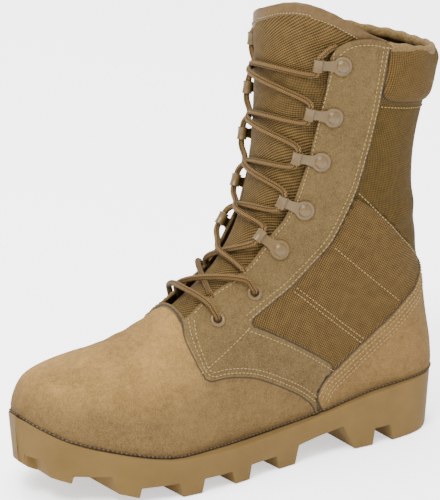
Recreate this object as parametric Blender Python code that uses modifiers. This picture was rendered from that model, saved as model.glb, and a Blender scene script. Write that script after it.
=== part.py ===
"""Left jungle boot: lugged outsole, insole, hollow upper with suede panels and padded cuff, tongue, lacing.

Metres, +Z up. The toe points along -X and the outer side of the foot faces -Y. The origin is on the floor,
under the middle of the boot. A station is a distance in millimetres forward of the back of the heel.
"""

import math

import bmesh
import bpy
import numpy as np
from mathutils import Matrix, Vector
from mathutils.bvhtree import BVHTree

MM = 0.001
SOLE_LENGTH = 312.0
GAP = 0.35
WALL = 2.0
PANEL = 1.5
CUFF_PAD = 3.2
INSOLE_THICKNESS = 3.0
TREAD_INSET = 2.0
TONGUE_THICKNESS = 3.0
TONGUE_START = 8.7
TONGUE_GAP = 1.1
TONGUE_WRAP = 0.30
LACE_DIAMETER = 3.6
LACE_BOWS = [(17.0, 0.0), (12.0, 0.0), (9.5, 1.0), (7.0, 3.0), (7.0, 9.0), (3.0, 11.0)]

# Plan of the outsole: half width on the outer and inner side of the foot at each station.
PLAN_COLUMNS = ("station", "outer", "inner")
PLAN = np.array([
    (0.0, 0.0, 0.0),
    (4.0, 14.0, 14.0),
    (10.0, 23.0, 23.0),
    (20.0, 31.5, 31.5),
    (35.0, 36.5, 36.0),
    (60.0, 39.5, 38.0),
    (100.0, 40.0, 35.5),
    (140.0, 45.5, 35.0),
    (170.0, 52.0, 40.5),
    (200.0, 56.5, 47.5),
    (225.0, 56.5, 52.3),
    (250.0, 52.5, 53.0),
    (270.0, 45.0, 49.5),
    (288.0, 34.5, 40.0),
    (300.0, 24.5, 29.5),
    (308.0, 13.0, 17.0),
    (312.0, 0.0, 0.0),
])

# Heights of the sole at each station: the seat under the upper, the roof of the grooves and the tread.
SOLE_COLUMNS = ("station", "seat", "groove", "tread")
SOLE = np.array([
    (0.0, 41.5, 11.5, 0.0),
    (60.0, 37.7, 11.5, 0.0),
    (120.0, 28.5, 10.5, 0.0),
    (180.0, 26.0, 9.5, 0.0),
    (220.0, 26.3, 9.5, 0.0),
    (236.0, 28.8, 10.5, 0.5),
    (260.0, 34.5, 16.0, 7.0),
    (290.0, 43.5, 25.0, 15.3),
    (304.0, 51.0, 30.0, 20.5),
    (312.0, 56.5, 34.0, 26.0),
])

# Sections of the upper from toe to collar. Each lies in a plane through a front point and a back point.
# "wide" is how far up from the back point the section is widest, and the powers set how square it is.
# "throat" is how far the edge of the lacing throat stands from the middle line.
SECTION_COLUMNS = (
    "front_s", "front_z", "back_s", "back_z", "outer", "inner", "wide", "front_power", "back_power", "throat",
)
SECTIONS = np.array([
    (309.2, 57.0, 309.2, 53.0, 0.4, 0.4, 0.45, 2.1, 3.0, 0.2),
    (308.3, 62.0, 308.3, 44.0, 7.0, 9.0, 0.45, 2.1, 3.0, 3.0),
    (305.5, 69.0, 305.5, 38.0, 15.0, 18.5, 0.45, 2.1, 3.2, 6.0),
    (300.5, 75.5, 300.5, 34.0, 22.0, 27.0, 0.44, 2.15, 3.4, 9.0),
    (292.0, 81.0, 292.0, 30.0, 30.0, 36.0, 0.42, 2.2, 3.6, 12.0),
    (278.0, 84.3, 278.0, 25.0, 38.5, 43.5, 0.40, 2.25, 3.8, 14.0),
    (260.0, 87.0, 260.0, 20.0, 46.0, 48.5, 0.36, 2.25, 4.0, 15.5),
    (240.0, 90.0, 240.0, 15.5, 51.5, 49.5, 0.34, 2.15, 4.0, 17.0),
    (220.0, 97.0, 219.0, 13.5, 52.5, 47.5, 0.32, 2.05, 4.0, 18.0),
    (200.0, 108.0, 196.0, 13.0, 50.0, 43.0, 0.32, 1.95, 4.0, 18.0),
    (180.0, 122.5, 171.0, 13.0, 46.5, 38.5, 0.34, 1.95, 4.0, 16.9),
    (164.0, 135.5, 144.0, 14.0, 43.0, 36.0, 0.37, 2.0, 4.0, 19.7),
    (154.5, 148.0, 114.0, 16.0, 40.0, 36.0, 0.40, 2.1, 4.0, 21.9),
    (148.5, 157.0, 82.0, 20.0, 38.0, 36.5, 0.42, 2.3, 3.8, 22.7),
    (144.5, 164.5, 51.0, 23.5, 37.0, 36.5, 0.43, 2.5, 3.6, 23.5),
    (142.0, 169.5, 25.0, 26.0, 37.0, 36.5, 0.44, 2.7, 3.3, 24.7),
    (139.5, 175.0, 7.5, 34.0, 37.3, 37.0, 0.45, 2.8, 2.9, 26.1),
    (137.3, 181.0, 4.8, 53.0, 37.7, 37.5, 0.46, 2.9, 2.6, 27.7),
    (135.0, 188.0, 8.3, 77.0, 38.3, 38.0, 0.47, 2.9, 2.4, 29.3),
    (133.3, 197.0, 11.6, 103.0, 39.2, 39.0, 0.48, 2.8, 2.3, 30.8),
    (132.3, 207.0, 14.7, 129.0, 40.3, 40.3, 0.49, 2.65, 2.2, 32.3),
    (131.6, 219.0, 17.2, 154.0, 41.5, 41.5, 0.50, 2.5, 2.2, 34.0),
    (131.2, 233.0, 20.0, 178.0, 42.7, 42.7, 0.50, 2.35, 2.2, 35.5),
    (131.2, 248.0, 18.0, 201.0, 43.8, 43.8, 0.50, 2.25, 2.2, 37.0),
    (131.2, 264.0, 13.0, 222.0, 44.7, 44.7, 0.50, 2.2, 2.2, 38.7),
    (131.2, 279.0, 7.0, 240.0, 45.3, 45.3, 0.50, 2.2, 2.2, 39.7),
    (131.2, 298.0, 4.0, 260.0, 45.8, 45.8, 0.50, 2.2, 2.2, 40.2),
    (130.5, 316.0, 4.0, 272.0, 45.8, 45.8, 0.50, 2.2, 2.2, 40.2),
])
VAMP_END = 9.15
UPPER_END = 26.3

# Rim of the tongue: height at each angle round the leg, from the outer side to the inner side.
TONGUE_RIM = np.array([
    (-90.0, 281.0),
    (-62.0, 293.0),
    (-40.0, 302.5),
    (-24.0, 304.5),
    (-5.0, 301.5),
    (15.0, 295.5),
    (34.0, 289.5),
    (60.0, 284.5),
    (90.0, 281.0),
])

# Side outlines (station, height) of the panels, and of the line along which the collar is trimmed.
COLLAR_OUTLINE = [
    (-20, 258), (2, 259), (31, 266), (57, 273.5), (66, 278.5), (74, 281), (83, 282), (91, 281.3), (97.5, 278),
    (101.5, 272.5), (105, 262), (220, 262), (220, 400), (-20, 400),
]
FACING_OUTLINE = [
    (198.3, 112), (198.3, 105), (203, 96), (202, 85), (197, 70.5), (181, 71.5), (160.5, 67.5), (140, 57),
    (123, 47), (112, 37.5), (108, 27), (105, 27), (111, 43.6), (104.6, 54), (94, 60.8), (111, 72.8), (130, 85),
    (146, 94), (161, 101.5), (141.5, 112), (126.5, 120), (111, 132.7), (98, 145), (90, 161), (81, 180.5),
    (76.7, 196.6), (72, 214), (69, 227), (66.5, 239), (63.6, 256), (59.5, 277), (57, 310), (150, 310),
    (150, 190), (175, 150),
]
COUNTER_OUTLINE = [
    (-20, 20), (98, 20), (103, 30.5), (109.6, 43.6), (103.5, 53), (93, 60), (73, 74), (55, 86), (41, 97),
    (28, 104), (21, 111), (17, 117.5), (-20, 119),
]
CUFF_OUTLINE = [(-20, 223), (5, 225.5), (31, 231.5), (65.6, 239), (62.8, 256), (58.7, 277), (56, 310), (-20, 310)]

# Tread: each groove runs in from the edge of the sole, between a rear and a front station, to its reach.
GROOVE_COLUMNS = ("rear", "front", "reach", "slant")
OUTER_GROOVES = [
    (49, 61, 8, 2), (141, 163, 8, 6), (180, 202, 8, 6), (221, 246, 8, 6), (264, 284, 9, 5), (301, 307, 6, 2),
]
INNER_GROOVES = [
    (49, 61, 8, 2), (133, 150, 8, 6), (167, 187, 8, 6), (206, 228, 8, 6), (248, 267, 9, 5), (286, 296, 8, 2),
]
SHANK_REAR, SHANK_FRONT = (78.0, 88.0), (127.0, 124.0)
SHANK_ROOF = (18.0, 12.6)
GROOVE_FLARE = 3.0

# Lacing: the middle of each fastening (station, height) on the outer side, from the collar down.
HOOKS = [(95.0, 266.0), (100.0, 232.7), (107.0, 203.0), (116.0, 171.0), (132.0, 145.0)]
EYELETS = [(152.0, 119.5), (179.5, 105.5)]
HOOK_REACH = 16.4
HOOK_LIFT = 1.0
HOOK_TUBE = 3.3
HOOK_BORE = 2.4
HOOK_LENGTH = 8.0
HOOK_SIDES = 8
HOOK_BUTTON = [(6.5, 0.0), (6.5, 1.1), (4.1, 1.7), (2.4, 2.9)]
HOLE_RADIUS = 3.6
EYELET_LIFT = 0.7
EYELET_PROFILE = [(2.6, -3.2), (3.1, -3.2), (3.1, 0.3), (5.0, 0.3), (4.7, 1.1), (3.6, 1.5), (2.6, 0.9)]

AROUND = 13
ACROSS = 3


def smooth(table, x):
    """Row of the table at each x, where x counts rows, on a curve through them with limited slopes."""
    x = np.clip(np.asarray(x, float), 0.0, len(table) - 1.0)
    step = np.diff(table, axis=0)
    slope = np.zeros_like(table)
    slope[1:-1] = 0.5 * (step[:-1] + step[1:])
    slope[0], slope[-1] = step[0], step[-1]
    i = np.minimum(x.astype(int), len(table) - 2)
    t = (x - i)[..., None]
    a, b = table[i], table[i + 1]
    return (
        a * (2 * t**3 - 3 * t**2 + 1) + b * (3 * t**2 - 2 * t**3)
        + slope[i] * (t**3 - 2 * t**2 + t) + slope[i + 1] * (t**3 - t**2)
    )


def by_station(table, station, column):
    """Value of a column at a station, smoothed with slopes that never overshoot."""
    s = table[:, 0]
    v = table[:, column]
    h = np.diff(s)
    d = np.diff(v) / h
    slope = np.zeros_like(v)
    slope[0], slope[-1] = d[0], d[-1]
    same = d[:-1] * d[1:] > 0
    weight_1, weight_2 = 2 * h[1:] + h[:-1], h[1:] + 2 * h[:-1]
    with np.errstate(divide="ignore", invalid="ignore"):
        mean = (weight_1 + weight_2) / (weight_1 / d[:-1] + weight_2 / d[1:])
    slope[1:-1] = np.where(same, mean, 0.0)
    i = int(np.clip(np.searchsorted(s, station, side="right") - 1, 0, len(s) - 2))
    t = (min(max(station, s[0]), s[-1]) - s[i]) / h[i]
    return float(
        v[i] * (2 * t**3 - 3 * t**2 + 1) + v[i + 1] * (3 * t**2 - 2 * t**3)
        + h[i] * slope[i] * (t**3 - 2 * t**2 + t) + h[i] * slope[i + 1] * (t**3 - t**2)
    )


def place(station, y, z):
    """World point of a station, sideways distance and height, all in millimetres."""
    return Vector(((SOLE_LENGTH / 2 - station) * MM, y * MM, z * MM))


def seat(station):
    return by_station(SOLE, station, 1)


def groove_roof(station):
    return by_station(SOLE, station, 2)


def tread(station):
    return by_station(SOLE, station, 3)


def plan_width(station, side, inset=0.0):
    """Half width of the plan on side -1 (outer) or 1 (inner), drawn in all round by an inset."""
    centre = SOLE_LENGTH / 2
    shrink = (centre - inset) / centre
    inner = centre + (station - centre) / shrink
    return max(by_station(PLAN, inner, 1 if side < 0 else 2) - inset, 0.0)


def section_point(row, angle):
    """Point of a section. The angle is 0 at the front, pi/2 on the outer side, pi at the back."""
    front_s, front_z, back_s, back_z, outer, inner, wide, front_power, back_power, _ = row
    mid_s, mid_z = back_s + wide * (front_s - back_s), back_z + wide * (front_z - back_z)
    c, s = math.cos(angle), math.sin(angle)
    power = front_power if c >= 0 else back_power
    reach = abs(c) ** (2 / power)
    half = abs(s) ** (2 / power) * (outer if s >= 0 else inner)
    end_s, end_z = (front_s, front_z) if c >= 0 else (back_s, back_z)
    y = -half if s >= 0 else half
    return place(mid_s + (end_s - mid_s) * reach, y, mid_z + (end_z - mid_z) * reach)


def throat_angle(row, side):
    """Angle at which a section meets the edge of the throat."""
    half = row[4] if side < 0 else row[5]
    return math.asin(min(row[9] / half, 0.99) ** (row[7] / 2))


def section_angle(number, share):
    """Angle of a place on a section: 0 at the throat edge or ridge, 1 at the back, negative on the inner side."""
    start = throat_angle(smooth(SECTIONS, number), -1 if share >= 0 else 1)
    return math.copysign(start + (math.pi - start) * abs(share), share)


def on_upper(number, angle, offset=0.0):
    """Point on the outer face of the upper at a section number and angle, moved outwards by an offset."""
    def at(n, a):
        return section_point(smooth(SECTIONS, n), a)

    point = at(number, angle)
    up = at(number + 0.05, angle) - at(number - 0.05, angle)
    round_it = at(number, angle + 0.01) - at(number, angle - 0.01)
    normal = round_it.cross(up).normalized()
    if normal.dot(point - place(min(max(number * -6 + 240, 75), 220), 0, 60 + max(number - 10, 0) * 8)) < 0:
        normal = -normal
    return point + normal * offset * MM, normal


def find_on_upper(station, height):
    """Section number and angle of the place on the outer side that shows at a station and height."""
    number, angle, reach = 17.0, 1.3, (9.0, 1.2)
    target = place(station, 0, height)
    for _ in range(7):
        best = None
        for i in range(-8, 9):
            for j in range(-8, 9):
                n, a = number + reach[0] * i / 8, angle + reach[1] * j / 8
                point = section_point(smooth(SECTIONS, n), a)
                miss = (point.x - target.x) ** 2 + (point.z - target.z) ** 2
                if best is None or miss < best[0]:
                    best = (miss, n, a)
        number, angle = best[1], best[2]
        reach = (reach[0] * 0.3, reach[1] * 0.3)
    return number, angle


def new_object(name, mesh_data, collection):
    obj = bpy.data.objects.new(name, mesh_data)
    collection.objects.link(obj)
    return obj


def mesh_of(name, points, faces, collection, weld=1e-6, triangles=False):
    bm = bmesh.new()
    verts = [bm.verts.new(p) for p in points]
    for face in faces:
        bm.faces.new([verts[i] for i in face])
    bmesh.ops.remove_doubles(bm, verts=bm.verts, dist=weld)
    bmesh.ops.dissolve_degenerate(bm, edges=bm.edges, dist=weld)
    bmesh.ops.recalc_face_normals(bm, faces=bm.faces)
    if triangles:
        bmesh.ops.triangulate(bm, faces=bm.faces)
    mesh = bpy.data.meshes.new(name)
    bm.to_mesh(mesh)
    bm.free()
    return new_object(name, mesh, collection)


def baked(obj):
    """Applies an object's modifiers and puts its place in its mesh."""
    graph = bpy.context.evaluated_depsgraph_get()
    mesh = bpy.data.meshes.new_from_object(obj.evaluated_get(graph))
    mesh.transform(obj.matrix_world)
    obj.modifiers.clear()
    if obj.type == "MESH":
        obj.data = mesh
        obj.matrix_world = Matrix.Identity(4)
        return obj
    collection = obj.users_collection[0]
    made = new_object(obj.name + "_mesh", mesh, collection)
    bpy.data.objects.remove(obj)
    return made


def boolean(obj, other, operation):
    modifier = obj.modifiers.new(operation.lower(), "BOOLEAN")
    modifier.operation = operation
    modifier.object = other
    modifier.solver = "EXACT"
    bpy.context.view_layer.update()
    return baked(obj)


def material(name, colour, roughness, metallic=0.0):
    mat = bpy.data.materials.new(name)
    mat.use_nodes = True
    shader = mat.node_tree.nodes["Principled BSDF"]
    shader.inputs["Base Color"].default_value = (*colour, 1.0)
    shader.inputs["Roughness"].default_value = roughness
    shader.inputs["Metallic"].default_value = metallic
    return mat


def finish(obj, mat, sharp=40.0):
    obj.data.materials.clear()
    obj.data.materials.append(mat)
    obj.data.shade_smooth()
    obj.data.set_sharp_from_angle(angle=math.radians(sharp))
    return obj


def plan_stations(count):
    """Stations from heel to toe, close together where the plan turns round its ends."""
    return [SOLE_LENGTH * (1 - math.cos(math.pi * i / count)) / 2 for i in range(count + 1)]


def slab(name, collection, low, high, inset=0.0, low_inset=None, count=30):
    """Closed layer with the plan of the sole, between two heights that depend on the station."""
    low_inset = inset if low_inset is None else low_inset
    points = []
    for t in plan_stations(count):
        for level, edge in ((high, inset), (low, low_inset)):
            shrink = (SOLE_LENGTH / 2 - edge) / (SOLE_LENGTH / 2)
            station = SOLE_LENGTH / 2 + (t - SOLE_LENGTH / 2) * shrink
            for side in (-1, 1):
                points.append(place(station, side * plan_width(station, side, edge), level(station)))
    faces = []
    for i in range(count):
        a, b = 4 * i, 4 * (i + 1)
        faces += [(a, b, b + 1, a + 1), (a + 2, a + 3, b + 3, b + 2), (a, a + 2, b + 2, b), (a + 1, b + 1, b + 3, a + 3)]
    return mesh_of(name, points, faces, collection)


def prism(name, outline, collection, y_low, y_high):
    """Block with a side outline (station, height), between two sideways distances."""
    n = len(outline)
    points = [place(s, y, z) for y in (y_low, y_high) for s, z in outline]
    faces = [tuple(range(n)), tuple(reversed(range(n, 2 * n)))]
    faces += [(i, n + i, n + (i + 1) % n, (i + 1) % n) for i in range(n)]
    return mesh_of(name, points, faces, collection)


def groove_cutter(name, collection, rear, front, side, reach, slant):
    """Wedge that cuts one groove of the tread from the edge of the sole to near its middle line."""
    mid = (rear + front) / 2
    roof, floor = groove_roof(mid), tread(mid) - 14.0
    flare = GROOVE_FLARE * (roof - floor) / (roof - tread(mid))
    edge = 75.0
    points = []
    for z, grow in ((roof, 0.0), (floor, flare)):
        for y, shift in ((edge, 0.0), (reach, slant)):
            points.append(place(rear - grow + shift, side * y, z))
            points.append(place(front + grow / 2 + shift, side * y, z))
    faces = [(0, 1, 3, 2), (4, 6, 7, 5), (0, 4, 5, 1), (2, 3, 7, 6), (0, 2, 6, 4), (1, 5, 7, 3)]
    return mesh_of(name, points, faces, collection)


def make_outsole(parts, cutters):
    outsole = slab("outsole", parts, tread, lambda s: seat(s) - GAP, 0.0, TREAD_INSET, 40)
    (rear, rear_top), (front, front_top) = SHANK_REAR, SHANK_FRONT
    rear_low = rear - (rear_top - rear) * 10 / SHANK_ROOF[0]
    outline = [(rear_low, -10), (rear_top, SHANK_ROOF[0]), (front_top, SHANK_ROOF[1]), (front + 2, -10)]
    outsole = boolean(outsole, prism("shank_cutter", outline, cutters, -80, 80), "DIFFERENCE")
    for side, grooves in ((-1, OUTER_GROOVES), (1, INNER_GROOVES)):
        for i, (rear, front, reach, slant) in enumerate(grooves):
            cutter = groove_cutter(f"groove_cutter_{side}_{i}", cutters, rear, front, side, reach, slant)
            outsole = boolean(outsole, cutter, "DIFFERENCE")
    return outsole


def section_numbers():
    """Where along the upper its rings of points lie, counted in rows of SECTIONS."""
    toe = [0.0, 0.5, 1.0, 1.6, 2.3, 3.0, 3.8, 4.8, 5.8, 6.8, 7.8, 8.6]
    throat = [VAMP_END, 9.7, 10.4, 11.1, 11.8, 12.5, 13.1, 13.7, 14.4, 15.1]
    shaft = [15.8, 16.5, 17.3, 18.1, 19.0, 20.0, 21.0, 22.0, 23.0, 24.0, 24.8, 25.4, UPPER_END]
    return toe + throat + shaft


def shares():
    """Where round a section its points lie, from the back over the outer side to the front."""
    return [1 - (1 - math.cos(math.pi * k / AROUND / 2)) * 0.35 - 0.65 * k / AROUND for k in range(AROUND + 1)]


def upper_sheet(name, collection, closed=False):
    """The outer face of the upper, slit at the throat. A closed one has no slit and has a lid."""
    numbers = section_numbers()
    rings = []
    for number in numbers:
        row = smooth(SECTIONS, number)
        outer = [section_point(row, section_angle(number, max(share, 0.0))) for share in shares()]
        inner = [section_point(row, section_angle(number, min(-share, -1e-9))) for share in shares()]
        over = [
            section_point(row, throat_angle(row, -1) * (1 - k / ACROSS)) for k in range(1, ACROSS)
        ] + [section_point(row, 0.0)] + [
            section_point(row, -throat_angle(row, 1) * k / ACROSS) for k in range(1, ACROSS)
        ]
        rings.append(outer + over + list(reversed(inner))[:-1])
    count = len(rings[0])
    points = [p for ring in rings for p in ring]
    bridge = range(AROUND, AROUND + 2 * ACROSS)
    faces = []
    for j in range(len(numbers) - 1):
        for k in range(count):
            if k in bridge and numbers[j] >= VAMP_END and not closed:
                continue
            a, b = j * count + k, j * count + (k + 1) % count
            faces.append((a, a + count, b + count, b))
    if closed:
        faces.append(tuple(range(len(points) - count, len(points))))
        faces.append(tuple(reversed(range(count))))
    return mesh_of(name, points, faces, collection, 2e-5, triangles=True)


def copy_of(obj, name, collection):
    copied = obj.copy()
    copied.data = obj.data.copy()
    copied.name = name
    collection.objects.link(copied)
    return copied


def thicken(obj, inner, outer):
    """Gives an open sheet a wall from one distance outside it to another, both in millimetres."""
    if inner > 0.0:
        lift = obj.modifiers.new("lift", "DISPLACE")
        lift.mid_level = 0.0
        lift.strength = inner * MM
    wall = obj.modifiers.new("wall", "SOLIDIFY")
    wall.thickness = (outer - inner) * MM
    wall.offset = 1.0 if inner > 0.0 else -1.0
    wall.use_even_offset = False
    bpy.context.view_layer.update()
    return baked(obj)


def face_outwards(obj):
    """Turns an open sheet round if its faces point at the middle of the leg."""
    middle = place(72, 0, 150)
    votes = sum(
        math.copysign(1, (p.center - middle).dot(p.normal)) for p in obj.data.polygons if p.center.z > 0.15
    )
    if votes < 0:
        obj.data.flip_normals()


def tongue_top(angle):
    return by_station(TONGUE_RIM, math.degrees(angle), 1)


def make_tongue(parts):
    """Sheet under the facings, from inside the vamp to a curved rim above the collar."""
    columns, rows = 14, 17
    points = []
    for k in range(columns + 1):
        share = 1 - 2 * k / columns
        def angle_at(number):
            edge = throat_angle(smooth(SECTIONS, number), -1 if share >= 0 else 1)
            return share * (edge + TONGUE_WRAP)
        last = UPPER_END
        for _ in range(24):
            z = section_point(smooth(SECTIONS, last), angle_at(last)).z / MM
            last = min(max(last + (tongue_top(-angle_at(last)) - z) / 20, 22.0), len(SECTIONS) - 1.01)
        for j in range(rows + 1):
            number = TONGUE_START + (last - TONGUE_START) * j / rows
            points.append(on_upper(number, angle_at(number), -WALL - TONGUE_GAP)[0])
    faces = []
    for k in range(columns):
        for j in range(rows):
            a, b = k * (rows + 1) + j, (k + 1) * (rows + 1) + j
            faces.append((a, a + 1, b + 1, b))
    tongue = mesh_of("tongue", points, faces, parts)
    face_outwards(tongue)
    return thicken(tongue, -TONGUE_THICKNESS, 0.0)


def revolve(name, profile, collection, sides):
    """Ring or button: a closed profile of (radius, height) turned about the local Z axis."""
    rings = [
        [(r * math.cos(2 * math.pi * k / sides), r * math.sin(2 * math.pi * k / sides), z) for r, z in profile]
        for k in range(sides)
    ]
    n = len(profile)
    points = [Vector(p) * MM for ring in rings for p in ring]
    faces = []
    for k in range(sides):
        for i in range(n):
            a, b = k * n, (k + 1) % sides * n
            faces.append((a + i, b + i, b + (i + 1) % n, a + (i + 1) % n))
    return mesh_of(name, points, faces, collection)


def button(name, profile, collection, sides):
    """Round solid with flat ends from a stack of (radius, height) along the local Z axis."""
    points, faces = [], []
    for r, z in profile:
        for k in range(sides):
            angle = 2 * math.pi * k / sides
            points.append(Vector((r * math.cos(angle), r * math.sin(angle), z)) * MM)
    for i in range(len(profile) - 1):
        for k in range(sides):
            a, b = i * sides + k, i * sides + (k + 1) % sides
            faces.append((a, b, b + sides, a + sides))
    last = (len(profile) - 1) * sides
    faces.append(tuple(reversed(range(sides))))
    faces.append(tuple(range(last, last + sides)))
    return mesh_of(name, points, faces, collection)


def hook_shape(cutters):
    """One lace hook: local X along the throat edge, local Y towards the throat, local Z outwards."""
    hook = button("hook_shape", HOOK_BUTTON, cutters, 10)
    half, start, end, low, high = 2.7, 3.0, HOOK_REACH - 1.5, 0.25, 1.5
    corners = [
        Vector((x, y, z)) * MM for z in (low, high) for x, y in ((-half, start), (half, start), (half, end), (-half, end))
    ]
    sides = [(0, 1, 5, 4), (1, 2, 6, 5), (2, 3, 7, 6), (3, 0, 4, 7), (3, 2, 1, 0), (4, 5, 6, 7)]
    neck = mesh_of("hook_neck", corners, sides, cutters)
    turn = Matrix.Translation(Vector((0, HOOK_REACH, HOOK_LIFT)) * MM) @ Matrix.Rotation(math.pi / 2, 4, "Y")
    length = HOOK_LENGTH / 2
    tube = button("hook_tube", [(HOOK_TUBE, -length), (HOOK_TUBE, length)], cutters, HOOK_SIDES)
    bore = button("hook_bore", [(HOOK_BORE, -8.0), (HOOK_BORE, 8.0)], cutters, HOOK_SIDES)
    tube.data.transform(turn)
    bore.data.transform(turn)
    hook = boolean(hook, neck, "UNION")
    hook = boolean(hook, tube, "UNION")
    return boolean(hook, bore, "DIFFERENCE")


def on_sheet(tree, point, offset):
    """The nearest place on the faceted sheet, moved outwards by an offset, and the normal there."""
    near, normal, _, _ = tree.find_nearest(point)
    return near + normal * offset * MM, normal


def seat_frame(tree, station, height, offset):
    """Local frame on the outer side: X up along the throat edge, Y towards the throat, Z outwards."""
    number, angle = find_on_upper(station, height)
    point, normal = on_sheet(tree, on_upper(number, angle)[0], offset)
    edge = [on_upper(n, throat_angle(smooth(SECTIONS, n), -1))[0] for n in (number - 0.7, number + 0.7)]
    along = (edge[1] - edge[0]).normalized()
    along = (along - normal * along.dot(normal)).normalized()
    across = normal.cross(along)
    if (edge[0] + edge[1] - 2 * point).dot(across) < 0:
        across, along = -across, -along
    frame = Matrix((along, across, normal)).transposed().to_4x4()
    frame.translation = point
    return frame, number, angle


def inner_frame(tree, number, angle, offset, frame):
    """The frame on the inner side that answers one on the outer side."""
    share = (angle - throat_angle(smooth(SECTIONS, number), -1)) / (
        math.pi - throat_angle(smooth(SECTIONS, number), -1)
    )
    point, normal = on_sheet(tree, on_upper(number, section_angle(number, -share))[0], offset)
    mirror = Matrix.Scale(-1, 4, (0, 1, 0))
    flipped = mirror @ frame
    along = Vector(flipped.col[0][:3])
    along = (along - normal * along.dot(normal)).normalized()
    across = Vector(flipped.col[1][:3])
    across = (across - normal * across.dot(normal) - along * across.dot(along)).normalized()
    made = Matrix((along, across, normal)).transposed().to_4x4()
    made.translation = point
    return made


def tube_end(frame, end):
    """Middle of one end of a hook's tube: 1 for the upper end, -1 for the lower."""
    up = 1 if (frame.to_3x3() @ Vector((1, 0, 0))).z > 0 else -1
    return frame @ (Vector((up * end * (HOOK_LENGTH / 2 + 2.1), HOOK_REACH, HOOK_LIFT)) * MM)


def eye_end(frame, end):
    """Place just over an eyelet where a strand arrives from above (1) or leaves downwards (-1)."""
    up = 1 if (frame.to_3x3() @ Vector((1, 0, 0))).z > 0 else -1
    return frame @ (Vector((up * end * 5.0, 7.0, 6.6)) * MM)


def cord(name, path, collection, sides=6):
    """Round cord along a path of points, with flat ends."""
    radius = LACE_DIAMETER / 2 * MM
    points, faces = [], []
    for i, point in enumerate(path):
        ahead = (path[min(i + 1, len(path) - 1)] - path[max(i - 1, 0)]).normalized()
        side = ahead.cross(Vector((1, 0, 0.3))).normalized()
        up = side.cross(ahead)
        for k in range(sides):
            angle = 2 * math.pi * k / sides
            points.append(point + (side * math.cos(angle) + up * math.sin(angle)) * radius)
    for i in range(len(path) - 1):
        for k in range(sides):
            a, b = i * sides + k, i * sides + (k + 1) % sides
            faces.append((a, b, b + sides, a + sides))
    last = (len(path) - 1) * sides
    faces.append(tuple(reversed(range(sides))))
    faces.append(tuple(range(last, last + sides)))
    return mesh_of(name, points, faces, collection)


def bowed(start, middle, end):
    """Path between two points that bows through a middle one, round the front of the leg."""
    path = []
    for i in range(8):
        t = i / 7
        swell = 1 - abs(2 * t - 1) ** 2.2
        path.append(start.lerp(end, t) + (middle - (start + end) / 2) * swell)
    return path


def make_lace(frames, eye_frames, parts):
    """Crossings of the lace between one pair of fastenings and the next, one strand lying over the other."""
    made = []
    upper_ends = {side: [tube_end(f, 1) for f in frames[side]] for side in (-1, 1)}
    lower_ends = {side: [tube_end(f, -1) for f in frames[side]] for side in (-1, 1)}
    for k, (forward, rise) in enumerate(LACE_BOWS):
        runs = []
        for side in (-1, 1):
            if k < len(HOOKS) - 1:
                start, end = lower_ends[side][k], upper_ends[-side][k + 1]
            elif k == len(HOOKS) - 1:
                start, end = lower_ends[side][k], eye_end(eye_frames[-side][0], 1)
            else:
                start, end = eye_end(eye_frames[side][0], -1), eye_end(eye_frames[-side][1], 1)
            runs.append((start, end))
        middle = sum((start + end for start, end in runs), Vector()) / 4 + Vector((-forward, 0, rise)) * MM
        over = (runs[0][1] - runs[0][0]).cross(runs[1][1] - runs[1][0]).normalized()
        over *= math.copysign(1.25 * LACE_DIAMETER * MM, -over.x)
        for i, (start, end) in enumerate(runs):
            made.append(cord(f"lace_{2 * k + i + 1}", bowed(start, middle + over * i, end), parts))
    return made


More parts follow.
